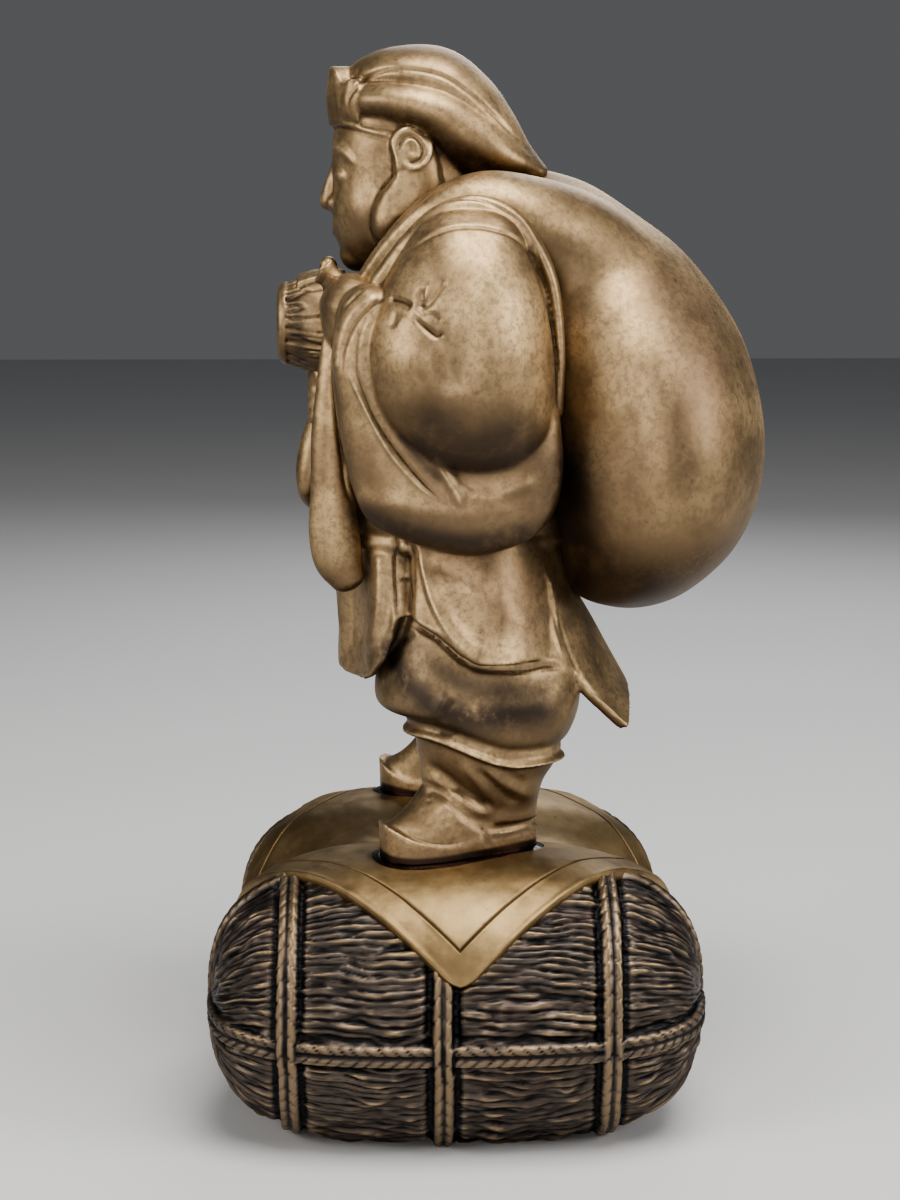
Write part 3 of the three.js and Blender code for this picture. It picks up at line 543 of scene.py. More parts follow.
def coat_tail():
    """The coat's tail: a panel that flares out backwards below the sack."""
    back = [[44, 128], [55, 112], [64, 97.5], [72.5, 82], [81.5, 66]]
    edge = [[40, 126], [43.6, 112], [48, 91], [59, 73], [77, 56]]

    def place(u, v, out):
        across = 2 * u - 1
        (y_back, z_back), (y_edge, z_edge) = (np.moveaxis(spline(rows, v), -1, 0) for rows in (back, edge))
        y, z = mix(y_back, y_edge, across**2) - out, mix(z_back, z_edge, across**2) - out * 0.35
        return stacked(across * (mix(54, 60, v) - out * 0.6), y, z)

    return sheet(place, 0, 4.6)


# Body
def torso():
    rows = [
        [92, 0, 8, 58, 44], [125, 0, 4, 62, 52], [158, 0, -3, 62, 61], [185, 0, -3, 60, 56],
        [215, 0, 1, 62, 46], [242, 0, 4, 66, 38], [266, 0, 6, 60, 32], [281, 0, 2, 38, 27],
        [292, 0, -4, 22, 22],
    ]
    return column(rows, roundness=2.3)


def collar():
    """The robe's collar: a rolled edge from each side of the neck down to the sash."""
    rows = [
        [24, 16, 274, 6, 4.5], [27, -12, 269, 7, 4.5], [22, -32, 250, 7, 4.5], [11, -46, 228, 7, 4.5],
        [-3, -56, 196, 6.5, 4.5],
    ]
    return limb(rows)


def sash():
    angle = turns(200)
    # z, and how far the sash stands out there
    profile = [
        [130, -9], [132.5, -2], [135, 2.6], [138, 3.4], [141, 2], [144, 3.2], [148.5, 3.2], [151, -1],
        [153, -9],
    ]
    rings = []
    for z, grow in spline(profile, np.linspace(0, 1, 40)):
        rings.append(stacked((63 + grow) * np.cos(angle), 0.5 + (59 + grow) * np.sin(angle), z))
    return skin(rings)


# Left arm: a full sleeve that hangs from a forearm raised to hold the sack
LEFT_ARM = [
    [4, 283], [-12, 279], [-24, 265], [-33, 248], [-41, 232], [-42.5, 216], [-39, 199], [-31, 185],
    [-19, 174], [-1, 165], [26, 167], [40, 181], [43, 200], [42, 225], [38, 250], [24, 278],
]
LEFT_BAG = [
    [-34, 250], [-48, 244], [-53, 222], [-52, 201], [-48.5, 180], [-44, 162], [-37, 149], [-20, 140.5],
    [0, 135], [16, 136], [33, 143], [43, 157], [45, 182], [36, 214], [-4, 236],
]


def left_sleeve():
    wrist = [[74, -6, 214, 20, 20], [66, -24, 228, 15, 17], [53, -38, 238, 10, 13]]
    inner_fold = [
        [50, -52, 226, 4, 6], [50.5, -53, 208, 5.5, 7.5], [51.5, -54, 186, 6.5, 9],
        [51.5, -54, 162, 7, 9.5], [51.5, -53.5, 144, 7.5, 11], [51.5, -51.5, 131, 7, 11],
        [51.5, -47.5, 122, 5.5, 8],
    ]
    return [
        cushion(LEFT_ARM, 45, 105, DOMED_LAYERS),
        cushion(LEFT_BAG, 50, 86, UNDERCUT_LAYERS),
        limb(wrist),
        limb(inner_fold),
    ]


def armhole_band():
    """The raised edge of the armhole, over the shoulder and down behind the sleeve."""
    rows = [
        [66, -33, 252, 5, 4], [68, -20, 268, 6, 4.5], [69, -7, 279, 6, 5], [69, 7, 283, 6, 5],
        [70, 21, 279, 6, 5], [72, 32, 267, 6, 4], [73, 40, 250, 5, 3], [72, 43.5, 222, 4, 2.4],
        [68, 43.5, 196, 3, 2],
    ]
    return limb(rows, levels=80)


def right_sleeve():
    """The forearm crosses in front of the belly, and the sleeve hangs from it."""
    forearm = [
        [-76, 4, 190, 26, 30], [-68, -26, 190, 23, 27], [-46, -45, 193, 17, 21],
        [-22, -53, 197, 11, 13],
    ]
    bag = [
        [-78, 30, 172, 14, 27], [-80, 2, 168, 16, 33], [-74, -30, 166, 15, 33], [-58, -56, 165, 12, 29],
        [-40, -64, 170, 8, 24],
    ]
    return [
        mirrored(blob([71.2, 10, 220], [32, 34, 58])),
        limb(forearm),
        limb(bag, across=(-0.7, -0.7, 0)),
    ]


def fist(x, y, z, reach, size, hand):
    """A closed hand round something upright: a palm, four fingers that wrap round in front, and a thumb."""
    palm = [
        [x, y + 1, z - size * 0.8, reach, reach * 0.8], [x, y + 1, z, reach + 1.5, reach],
        [x, y + 1, z + size * 0.8, reach, reach * 0.8],
    ]
    thumb = [
        [x + hand * 5, y + 4, z + size * 0.7, 4, 4],
        [x - hand * 3, y - reach * 0.7, z + size, 4.2, 4.2],
        [x - hand * reach * 0.8, y - reach * 0.7, z + size * 0.8, 3.6, 3.6],
    ]
    forms = [limb(palm, levels=16), limb(thumb, sides=24, levels=16)]
    for k in range(4):
        up = (1.5 - k) * size * 0.46
        finger = [
            [x + hand * (reach + 0.5), y + 2, z + up, 4, 3.7],
            [x + hand * (reach - 2.5), y - reach * 0.75, z + up, 4.2, 3.8],
            [x - hand * 2, y - reach - 0.5, z + up, 4.2, 3.8],
            [x - hand * (reach - 1), y - reach * 0.35, z + up - 0.5, 3.8, 3.5],
        ]
        forms.append(limb(finger, sides=24, levels=16, across=(0, 0, 1)))
    return forms


LEFT_HAND = [
    [-59, 240], [-56.5, 247], [-50, 253.5], [-42, 254], [-35, 249], [-34, 238], [-40, 227], [-49, 220],
    [-56, 224],
]


def left_hand():
    """The back of the left hand, closed on the sack's neck. Its fingers wrap round behind."""
    fingers = []
    for up in (-9, -3, 3, 9):
        z = 240 + up
        line = [[44, -51 + abs(up) * 0.2, z, 4, 3.6], [34, -55, z + 1, 4, 3.6], [26, -51, z + 1, 3.6, 3.4]]
        fingers.append(limb(line, sides=24, levels=16, across=(0, 0, 1)))
    return [cushion(LEFT_HAND, 34, 64, DOMED_LAYERS), *fingers]


# Sack: slung over the left shoulder and gathered in the left fist
def sack():
    axis_y, axis_z = 0.31, -0.95  # it hangs down and backwards
    x, y, z = 4, 40, 292  # from its top
    # along the axis, off it towards the back, half thickness, half width
    rows = [
        [-9, -2, 1, 1], [-6, -2, 8, 10], [5, -1, 22, 27], [22, 0, 35, 44], [45, 6, 45, 62],
        [72, 10, 51.5, 76], [98, 12, 54, 84], [130, 9, 54.5, 87], [158, 3, 50.5, 80], [178, -3, 40, 64],
        [190, -6, 22, 38], [194.5, -6, 6, 12], [195, -6, 1, 2],
    ]
    angle, rings = turns(220), []
    for along, off, thick, wide in spline(rows, np.linspace(0, 1, 150)):
        back = off + thick * np.sin(angle)
        along_y, along_z = y + along * axis_y, z + along * axis_z
        rings.append(stacked(x + wide * np.cos(angle), along_y - back * axis_z, along_z + back * axis_y))
    return skin(rings)


def sack_neck():
    rows = [
        [38, -42, 240, 6.5, 7], [45, -27, 258.5, 10, 10], [51, -9, 273.5, 15, 14],
        [51, 8, 280.5, 20, 17], [46, 24, 278.5, 27, 20], [35, 45, 265, 32, 29], [26, 68, 240, 41, 37],
    ]

    def gathers(angle, t):
        return 1.3 * np.cos(7 * angle) * (1 - ease(t, 0.2, 0.6))

    return limb(rows, sides=96, relief=gathers)


def sack_mouth():
    """The sack's mouth, which flares out of the fist."""
    rows = [
        [37, -46, 244, 4.5, 4.5], [35, -50, 249, 4.5, 4.5], [33, -54.5, 253, 6.5, 5],
        [32, -57.5, 255.5, 8.5, 6.5],
    ]

    def waves(angle, t):
        return 0.8 * np.cos(5 * angle) * t

    return limb(rows, sides=96, round_ends=False, relief=waves)


# Mallet: a barrel of grained wood, held by its upright handle
MALLET = {"x": 2, "y": -56, "z": 231.5, "half_length": 23, "end_radius": 16.7, "middle_radius": 23.5}


def mallet_radius(along):
    return mix(MALLET["middle_radius"], MALLET["end_radius"], np.abs(along / MALLET["half_length"]) ** 1.8)


def mallet():
    x, y, z, half = (MALLET[key] for key in ("x", "y", "z", "half_length"))
    angle = turns(300)
    along = np.linspace(-1, 1, 130)[:, None] * half
    grained = ease(half * 0.84 - np.abs(along), 0, 1.2)
    wave = 2.4 * noise(along / 15, angle * 2.5, 3.0) + 0.5 * noise(along / 5, angle * 6, 9.0)
    grain = np.abs(noise(along / 24, (angle * MALLET["middle_radius"] + wave) / 1.9, 5.0))
    cuts = -1.4 * bump(grain, 0.2) - 0.4
    rim = 0.35 * bump(np.abs(along) - half * 0.9, 2)
    rounding = 1.6 * ease(np.abs(along), half - 1.2, half)
    out = mallet_radius(along) + grained * cuts + (1 - grained) * rim - rounding
    rings = stacked(x + out * np.cos(angle), y + along, z + out * np.sin(angle))
    ends = []
    for side in (-1, 1):
        ring = rings[0 if side < 0 else -1]
        centre = np.array([x, y + side * half, z])
        hollow = ((0.86, 0), (0.84, 1.0), (0.5, 1.0), (0.2, 1.0))
        ends.append([centre + (ring - centre) * share + [0, -side * dip, 0] for share, dip in hollow])
    barrel = skin([*ends[0][::-1], *rings, *ends[1]])
    return [barrel, limb([[x, y, z - 62, 4, 4], [x, y, z + 26, 4, 4]], levels=40)]


def mallet_plate():
    """The raised plate on top of the mallet, which follows the barrel."""

    def place(u, v, lift):
        across, along = (u - 0.5) * 24, (v - 0.5) * 21 - 3
        rise = np.sqrt(mallet_radius(along) ** 2 - across**2)
        return stacked(MALLET["x"] + across, MALLET["y"] + along, MALLET["z"] + rise + lift)

    return sheet(place, 1.3, -6, 40, 36)


# Head
HEAD_Y, HEAD_Z = -20, 298


def head():
    y, z = HEAD_Y, HEAD_Z
    skull = [
        [z - 48, 0, y + 10, 15, 17], [z - 41, 0, y, 19, 23], [z - 32, 0, y - 1, 26, 30],
        [z - 18, 0, y - 1, 31, 33], [z - 4, 0, y, 32, 33], [z + 10, 0, y, 32, 34],
        [z + 26, 0, y, 30, 32],
    ]
    nose = [
        [0, y - 31, z + 8, 2.2, 2.4], [0, y - 32.5, z + 1, 2.6, 3], [0, y - 34.5, z - 6, 3.4, 3.8],
        [0, y - 35.5, z - 12, 5, 4.6],
    ]
    forms = [column(skull, roundness=2.2), limb(nose, sides=40)]
    for side in (-1, 1):
        brow = [
            [side * 5, y - 31.4, z + 8, 2.2, 1.6], [side * 12, y - 31.5, z + 11, 3, 2.0],
            [side * 20, y - 27.4, z + 8.5, 2.2, 1.6], [side * 24, y - 24, z + 4.5, 1.2, 1.0],
        ]
        forms += [
            blob([side * 5.2, y - 32.5, z - 13], [3.6, 4.2, 3.4], sides=32),
            blob([side * 12.5, y - 28.6, z - 1.5], [7.4, 4.4, 4.4], sides=40),
            limb(brow, sides=32, across=(0, 0, 1)),
            blob([side * 14.5, y - 18, z - 15], [13, 11, 14], sides=48),
        ]
    forms.append(blob([0, y - 22.5, z - 35], [13, 8.5, 8.5], sides=48))
    for drop, thick in ((-22.6, 1.9), (-25.8, 2.3)):
        lip = [
            [-10.5, y - 27.3, z + drop + 0.8, thick * 0.35, 1.4],
            [-4, y - 31, z + drop + 0.3, thick * 0.9, 2.4], [0, y - 31.8, z + drop - 0.1, thick, 2.6],
            [4, y - 31, z + drop + 0.3, thick * 0.9, 2.4],
            [10.5, y - 27.3, z + drop + 0.8, thick * 0.35, 1.4],
        ]
        forms.append(limb(lip, sides=32, across=(0, 0, 1)))
    return forms


EAR = [
    [-20, 318], [-27, 314], [-27, 303], [-27.5, 296], [-33.5, 288], [-37, 277], [-33.5, 267], [-24, 265],
    [-12, 276], [-5, 290], [-8, 308],
]
EAR_LAYERS = [[0, 0.2], [0, 0.95], [0.35, 1], [0.62, 0.97], [0.82, 0.86], [0.95, 0.66], [1.02, 0.4]]


def ear():
    return cushion(EAR, 24, 39, EAR_LAYERS)


# Hat: a soft crown over a puffed roll, and a plate standing up in front
def hat():
    # y, z, half width, half height
    roll = [
        [-47, 328, 18, 6], [-40, 328.5, 30, 10.5], [-26, 328, 36.5, 14], [-8, 323.5, 39.5, 17],
        [6, 314, 38.5, 19], [19, 306, 36, 15], [30, 301.5, 30, 9.5], [38, 298.5, 20, 4.5],
    ]
    crown = [
        [-45, 335, 10, 6], [-38, 339, 22, 10], [-25, 340.5, 30, 13.5], [-8, 337.5, 33, 16.5],
        [6, 329, 33, 15], [17, 318, 31, 12.5], [28, 306.5, 26, 8.5], [38, 298.5, 20, 5],
    ]
    return [limb([[0, *row] for row in rows], sides=160, levels=80) for rows in (roll, crown)]


def hat_plate():
    """The upright plate over the forehead, with a notch on either side of its point."""

    def place(u, v, out):
        across = 2 * u - 1
        turn = np.radians(across * 52)
        peak = 345 - 8 * bump(np.abs(across) - 0.67, 0.22) - 7 * ease(np.abs(across), 0.75, 1)
        hatching = 0.5 * np.abs(noise(across * 16, v * 2.2, 4.0)) * np.sin(np.pi * v)
        radius = 35 + 1.5 * np.sin(np.pi * v) - out - hatching
        return stacked(radius * np.sin(turn) * 0.94, HEAD_Y - radius * np.cos(turn), mix(peak, 319, v))

    return sheet(place, 0, 9)


def shaped(name, surface):
    """The surface as a finished object, in metres, with what its material reads of each point: how hollow
    and how turned under it lies, for painted shade on undersides, how stained it is with painted shade
    added, and how far over the cloth."""
    voxel, _, most = FIGURE[name]
    start, smooth, rounds = surface.points, surface.points, 0
    normals = surface.normals()
    looks = {}
    for label, reach in (("fine", FINE_REACH), ("broad", BROAD_REACH)):
        times = round((reach / voxel) ** 2)
        smooth = surface.relaxed(smooth, times - rounds, 0.8)
        rounds = times
        looks[label] = np.einsum("ij,ij->i", smooth - start, normals)
    # how far each point faces down, which the material turns into painted shade
    looks["under"] = surface.relaxed(-normals[:, 2], 6)
    looks["stain_and_shade"] = stained_and_shaded(surface)
    mesh = surface.mesh
    faces = sum(len(p.vertices) - 2 for p in mesh.polygons)
    if faces > most:
        mesh = applied(mesh, "DECIMATE", ratio=most / faces)
    lookup = kdtree.KDTree(len(start))
    for i, place in enumerate(start.tolist()):
        lookup.insert(place, i)
    lookup.balance()
    nearest = np.array([lookup.find(v.co)[1] for v in mesh.vertices])
    looks = {label: values[nearest] for label, values in looks.items()}
    points = read(mesh.vertices, "co", 3)
    looks["gap"] = points[:, 2] + (np.abs(points[:, 0]) - FOOT_X) ** 2 / 128
    mesh.vertices.foreach_set("co", (placed(points) / 1000).ravel())
    return finished(name, mesh, looks, "figure")


def finished(name, mesh, looks, node):
    """The piece in the scene: it rides on the root and stands for the node."""
    for label, values in looks.items():
        mesh.attributes.new(label, "FLOAT", "POINT").data.foreach_set("value", values)
    mesh.shade_smooth()
    mesh.update()
    made = bpy.data.objects.new(name, mesh)
    mesh.name = name
    bpy.context.scene.collection.objects.link(made)
    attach(made, "root")
    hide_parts(node)
    return made


# Folds and seams of the near side, as the photograph shows them, in its pixels
COAT_STROKES = [
    # the panel over the hip: its front edge, which stands out over the slit, its hem and its folds
    ["step", 1.8, 1.6, 416, 538, 419, 556, 423, 577, 430, 601, 442, 628, 458, 647, 475, 660],
    ["ridge", 0.8, 2.6, 420, 556, 426, 577, 433, 604, 448, 632, 461, 648, 474, 659],
    ["ridge", 0.6, 1.8, 412, 616, 424, 624, 437, 631, 449, 642, 462, 653, 478, 660],
    ["ridge", 0.6, 1.9, 470, 660, 499, 664, 527, 664, 547, 660, 566, 661],
    ["groove", -1.8, 2.2, 410, 622, 424, 631, 437, 638, 449, 649, 462, 660, 478, 667],
    ["groove", -1.8, 2.2, 466, 664, 480, 669, 499, 671, 527, 671, 547, 667, 566, 668],
    ["mound", 1.2, 6.0, 438, 590, 448, 614, 466, 640, 480, 652],
    ["mound", -1.2, 9.0, 440, 566, 452, 574, 470, 584],
    ["mound", 1.2, 16.0, 500, 600, 520, 620],
    ["ridge", 0.6, 2.0, 551, 575, 551, 604, 554, 630, 564, 659],
    # the slit: a rough strip between two deep lines
    ["groove", -1.8, 1.9, 396, 532, 395, 560, 396, 590, 397, 620],
    ["groove", -1.6, 1.9, 410, 536, 412, 560, 412, 590, 408, 618],
    ["ridge", 0.7, 3.0, 403, 534, 404, 560, 404, 590, 403, 612],
    ["groove", -1.0, 1.6, 398, 556, 404, 560, 410, 557],
    ["groove", -1.0, 1.6, 398, 580, 403, 577, 409, 582],
    # the tail's two borders
    ["groove", -0.7, 1.6, 556, 588, 560, 620, 568, 648, 583, 680, 606, 704],
    ["groove", -0.6, 1.6, 564, 590, 584, 610, 603, 642, 617, 668, 630, 692],
    # the front flap: its folds and its edge
    ["mound", 1.4, 6.0, 380, 560, 380, 590, 377, 620, 372, 645],
    ["groove", -1.2, 3.0, 365, 556, 365, 590, 362, 625, 359, 650],
    ["groove", -0.8, 2.4, 352, 590, 352, 620, 352, 650],
    ["ridge", 0.8, 2.2, 342, 655, 346, 669, 354, 675, 366, 676, 377, 673, 386, 656, 393, 636],
    ["ridge", 0.6, 2.0, 331, 588, 338, 612, 343, 636, 345, 656],
]
LEG_STROKES = [
    # the full trouser leg
    ["groove", -1.2, 3.0, 455, 698, 450, 706, 445, 714, 443, 724],
    ["mound", 1.2, 7.0, 444, 700, 438, 712],
    ["groove", -0.8, 2.6, 462, 732, 450, 735, 438, 733],
    ["ridge", 0.7, 3.0, 583, 664, 577, 690, 565, 718, 556, 740],
    ["groove", -0.8, 3.4, 390, 650, 402, 640, 416, 634],
    # the gaiter's folds
    ["ridge", 1.1, 4.0, 422, 773, 434, 779, 447, 787, 464, 802, 480, 811, 497, 812],
    ["groove", -0.9, 4.2, 424, 762, 446, 776, 464, 791, 481, 801, 496, 804],
    ["ridge", 0.8, 4.6, 460, 765, 475, 780, 487, 796, 499, 808],
    ["groove", -0.9, 4.2, 476, 768, 490, 781, 505, 795, 520, 803],
    ["ridge", 0.8, 4.6, 484, 766, 497, 779, 515, 790, 530, 797],
    ["groove", -0.6, 3.6, 500, 768, 513, 777, 528, 784],
    ["groove", -0.6, 3.0, 428, 786, 446, 798, 462, 811, 478, 820, 498, 822],
    # where the gaiter ends over the shoe
    ["step", 1.2, 1.5, 537, 822, 512, 829, 496, 831, 478, 830, 464, 822, 453, 812, 442, 802, 425, 788],
    ["groove", -0.5, 1.5, 494, 751, 496, 764],
    # the welt, its crack and the heel
    ["groove", -1.0, 1.6, 378, 818, 397, 828, 411, 836, 428, 842, 442, 844, 456, 843, 474, 839],
    ["groove", -1.0, 1.6, 481, 826, 484, 835, 488, 847],
    ["groove", -0.8, 1.6, 487, 838, 509, 835, 537, 828],
    # pits of the casting
    ["mound", -0.9, 1.7, 429, 793, 429, 795],
    ["mound", -0.8, 1.5, 428, 801, 429, 802],
    ["mound", -0.8, 1.8, 445, 820, 446, 822],
]
SLEEVE_STROKES = [
    # the collar's two lines, and the armhole seam round the ball of the sleeve
    ["groove", -0.7, 1.7, 371, 279, 379, 258, 394, 234, 414, 212, 438, 191, 461, 178, 477, 172, 502, 170],
    ["groove", -0.8, 1.8, 374, 279, 386, 253, 406, 226, 431, 205, 453, 199, 477, 199, 501, 209, 522, 224,
      536, 250, 544, 279],
    ["groove", -0.9, 1.8, 392, 268, 410, 251, 430, 237, 450, 229, 469, 227, 490, 229, 514, 238, 531, 257,
      543, 290, 552, 325, 557, 369, 556, 410, 550, 440],
    ["mound", 0.7, 5.0, 400, 248, 420, 228, 449, 215, 482, 213, 508, 224, 528, 244],
    # the sleeve's rim round the wrist and its border
    ["groove", -0.8, 1.7, 366, 288, 350, 301, 338, 318, 333, 337, 332, 352],
    ["groove", -0.9, 1.9, 387, 298, 374, 305, 361, 318, 350, 334, 343, 353, 341, 376],
    ["mound", 0.7, 5.0, 372, 298, 356, 310, 345, 326, 338, 345, 336, 364],
    # the ball's own edge, with the thin raised line outside it
    ["groove", -0.8, 2.0, 383, 301, 367, 318, 358, 340, 356, 366, 359, 382, 374, 418, 393, 447, 416, 476,
      435, 495, 458, 508],
    ["ridge", 0.7, 1.9, 349, 372, 357, 392, 373, 424, 392, 456, 418, 485, 441, 502],
    ["ridge", 1.3, 4.5, 432, 458, 444, 474, 454, 490, 463, 510],
    ["groove", -0.7, 5.0, 450, 466, 462, 482, 476, 494],
    ["mound", 1.2, 8.0, 464, 494, 492, 497, 525, 484],
    # the two lobes of the arm, and the small folds where they meet
    ["mound", -1.5, 13.0, 436, 328, 442, 350, 449, 379],
    ["mound", 1.2, 22.0, 404, 362, 410, 392],
    ["mound", 1.2, 30.0, 500, 300, 505, 350],
    ["groove", -1.3, 4.8, 446, 278, 437, 290, 428, 302, 416, 312],
    ["groove", -0.8, 3.6, 420, 288, 422, 298, 420, 308],
    ["mound", 0.5, 3.4, 429, 287, 425, 298],
    ["groove", -1.0, 3.0, 412, 314, 424, 327, 436, 336, 444, 332],
    ["mound", 0.6, 4.2, 424, 319, 434, 326],
    ["groove", -0.6, 2.6, 420, 314, 432, 314, 441, 321],
    ["mound", 0.4, 3.8, 404, 319, 399, 326],
    ["groove", -0.5, 3.2, 396, 311, 394, 320, 389, 328],
    ["groove", -1.4, 3.4, 389, 299, 400, 301, 412, 307],
    # the sleeve's bag: its front edge, and where it turns under
    ["groove", -1.1, 2.2, 331, 360, 334, 390, 337, 420, 341, 453, 346, 486, 356, 512],
    ["mound", 0.7, 9.0, 362, 500, 380, 502, 409, 505, 436, 510, 461, 512, 500, 508],
]
# Stains and painted shade: how strongly, how wide, and where
STAINS_AND_SHADE = [
    [0.6, 3.0, 480, 626, 481, 644, 478, 660], [0.9, 1.4, 467.6, 559, 468.6, 566, 469.8, 572],
    [0.3, 3.5, 500, 590, 503, 620, 500, 640],
    # dark patina together with painted shade: under the ball of the sleeve, beside the seams, down the
    # sack's side and on the coat
    [0.9, 12.0, 418, 440, 446, 458, 490, 464, 528, 448], [0.8, 20.0, 432, 424, 470, 446, 520, 430],
    [0.8, 6.0, 402, 438, 420, 460, 436, 478],
    [0.9, 11.0, 364, 514, 400, 527, 440, 539, 480, 542, 522, 531],
    [0.7, 2.6, 488.5, 283.5, 489.5, 284.5], [0.3, 12.0, 372, 340, 366, 380, 380, 420],
    [0.4, 7.0, 420, 300, 438, 318, 446, 340], [0.3, 9.0, 463, 330, 456, 372],
    [0.45, 13.0, 556, 440, 575, 470, 580, 520, 600, 560], [0.3, 15.0, 572, 240, 594, 310, 590, 380],
    [0.3, 20.0, 660, 300, 690, 380, 690, 470], [0.35, 14.0, 450, 546, 490, 548, 540, 545],
    [1.0, 22.0, 388, 650, 414, 690, 460, 716, 540, 712],
    [0.8, 16.0, 398, 634, 432, 664, 480, 690, 560, 690],
    [0.9, 26.0, 566, 470, 574, 530, 610, 584, 660, 594], [0.35, 8.0, 395, 545, 397, 580, 398, 620],
    [0.8, 12.0, 292, 300, 297, 330, 303, 362], [0.4, 5.0, 488, 836, 512, 834, 536, 828],
]
HEAD_STROKES = [
    # the fold between the hat's crown and its roll, with the crown's hem beside it
    ["groove", -1.0, 1.8, 348, 114, 348, 100, 352, 92, 363, 81, 379, 72, 396, 69, 422, 71, 446, 78, 470,
      94, 493, 114, 514, 135, 531, 153],
    ["groove", -0.5, 1.6, 361, 68, 354, 78, 350, 90],
    # the headband
    ["groove", -0.7, 1.4, 337, 119, 350, 122, 366, 126, 380, 129, 397, 132],
    ["groove", -0.7, 1.4, 334, 126, 350, 129, 371, 135, 392, 139],
    ["ridge", 0.6, 2.0, 336, 122, 354, 126, 375, 132, 394, 136],
    # the ear's curl, and the long lobe's edge
    ["mound", -1.0, 5.0, 411, 146, 412, 150],
    ["ridge", 1.2, 2.2, 388, 167, 391, 154, 393, 142, 400, 132, 412, 128, 423, 132, 430, 143, 429, 156,
      421, 166, 411, 168, 404, 162, 403, 153],
    ["groove", -1.5, 2.0, 398, 160, 398, 148, 403, 138, 412, 135, 420, 140, 423, 150, 419, 159, 411, 162,
      408, 155],
    ["groove", -1.3, 2.0, 372, 205, 369, 217, 369, 228, 373, 238, 380, 245, 389, 247, 399, 242],
    ["mound", 1.3, 9.0, 384, 224, 394, 214],
    ["groove", -0.8, 2.0, 433, 143, 438, 155, 441, 168, 441, 182],
    ["groove", -0.6, 1.8, 408, 166, 390, 178, 378, 192],
]


def strands(start, end, bow, count, spread, height):
    """Fine parallel strokes of hair, side by side."""
    start, end = np.array(start, float), np.array(end, float)
    run = end - start
    across = np.array([-run[1], run[0]]) / np.hypot(*run)
    made = []
    for k in range(count):
        off = across * (k - (count - 1) / 2) * spread
        middle = (start + end) / 2 + off + across * bow
        made.append(["groove", -height, HAIR_WIDTH, *(start + off), *middle, *(end + off)])
    return made


HAIR_WIDTH = 0.8
HAIR = [
    *strands([381, 148], [386, 165], 2, 4, 3.2, 0.4),
    *strands([379, 160], [382, 192], -2, 4, 3.0, 0.4),
    *strands([390, 166], [376, 190], 1, 3, 2.8, 0.35),
]
# The figure's pieces: the voxel that fuses their forms, in mm, the rounds of smoothing after it, and the
# most triangles
FIGURE = {
    "figure_robe": (0.9, 3, 170000),
    "figure_sleeve": (0.65, 4, 120000),
    "figure_sack": (1.2, 4, 70000),
    "figure_head": (0.7, 3, 130000),
    "figure_mallet": (0.5, 1, 60000),
}
NECK_ROOT = (38, 52, 262)  # where the sack's neck runs into it


def build_figure():
    legs = [*leg(), *map(mirrored, leg())]
    body = [skirt(), coat_tail(), torso(), collar(), mirrored(collar()), sash(), *right_sleeve()]
    hand = fist(MALLET["x"] - 2, MALLET["y"] + 2, 198, reach=8.0, size=12.5, hand=-1)
    robe = fused("figure_robe", *legs, *body, *hand)
    sleeve = fused("figure_sleeve", *left_sleeve(), armhole_band(), *left_hand())
    bag = fused("figure_sack", sack(), sack_neck(), sack_mouth())
    top = fused("figure_head", *head(), ear(), mirrored(ear()), *hat(), hat_plate())
    hammer = fused("figure_mallet", *mallet(), mallet_plate())
    melt(bag, NECK_ROOT, 40, 120)
    for side in (-1, 1):
        melt(top, (side * 20, HEAD_Y - 22, HEAD_Z - 14), 15, 90)
    carve(sleeve, SLEEVE_STROKES)
    for side in (1, -1):
        carve(robe, COAT_STROKES + LEG_STROKES, side)
        carve(top, HEAD_STROKES + HAIR, side)
    return [shaped(name, surface) for name, surface in zip(FIGURE, (robe, sleeve, bag, top, hammer))]


# The base: two bales side by side, each lying along Y, under one square cloth laid cornerwise
BALE = {"length": 219, "right_length": 204, "width": 120, "height": 122.6, "flat": 6.6, "spacing": 116}
BALE_X = BALE["spacing"] / 2
HALF = np.array([BALE["width"], BALE["length"], BALE["height"] + BALE["flat"]]) / 2
BALE_Z = HALF[2] - BALE["flat"]
END_ROUNDNESS, GIRTH_ROUNDNESS = 3.0, 2.15
HOOP_PLACES = [-74, -7, 66]
ROPE_LEVEL = 52
GIRTH_ANGLE = math.asin((ROPE_LEVEL - BALE_Z) / HALF[2])
ROPE_ANGLES = [GIRTH_ANGLE, math.pi / 2, math.pi - GIRTH_ANGLE, 1.5 * math.pi]
CLOTH_HALF = 138
CLOTH_SHOULDER = 16  # how far it lies level on the inner side of each bale's ridge
CLOTH_THICK = 2.4
CLOTH_DIP, CLOTH_SAG = 12, 27  # how far it hangs between the bales, in its middle and at its corners
CLOTH_ROOT = 6  # how far its underside reaches down into the straw
CORNER, BLUNT = 8, 5.5  # how far from a corner its rounding starts, and how far it still reaches from there
CLOTH_CELLS = 190  # the mesh's cells along each of its sides
UNDER_CLOTH = 3  # how much lower the straw lies under it
SEAM_INSET = 13.5  # of the line that is cut into the cloth along its edges
base_low, base_high = (np.array(corner) * 1000 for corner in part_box("rice_bales"))
BASE_SHIFT = np.array([(base_low[0] + base_high[0]) / 2, (base_low[1] + base_high[1]) / 2, base_low[2]])


def length_at(x):
    """The bales' length at x, as a share of the left one's."""
    return mix(BALE["right_length"] / BALE["length"], 1, np.clip((x + BALE_X) / BALE["spacing"], 0, 1))


def bale_point(y, share, angle, lift=0.0):
    """Places on the left bale, over its plain form by a lift: share is how full its girth is there."""
    c, s = rounded(angle, GIRTH_ROUNDNESS)
    return stacked(BALE_X + (HALF[0] * share + lift) * c, y, BALE_Z + (HALF[2] * share + lift) * s)


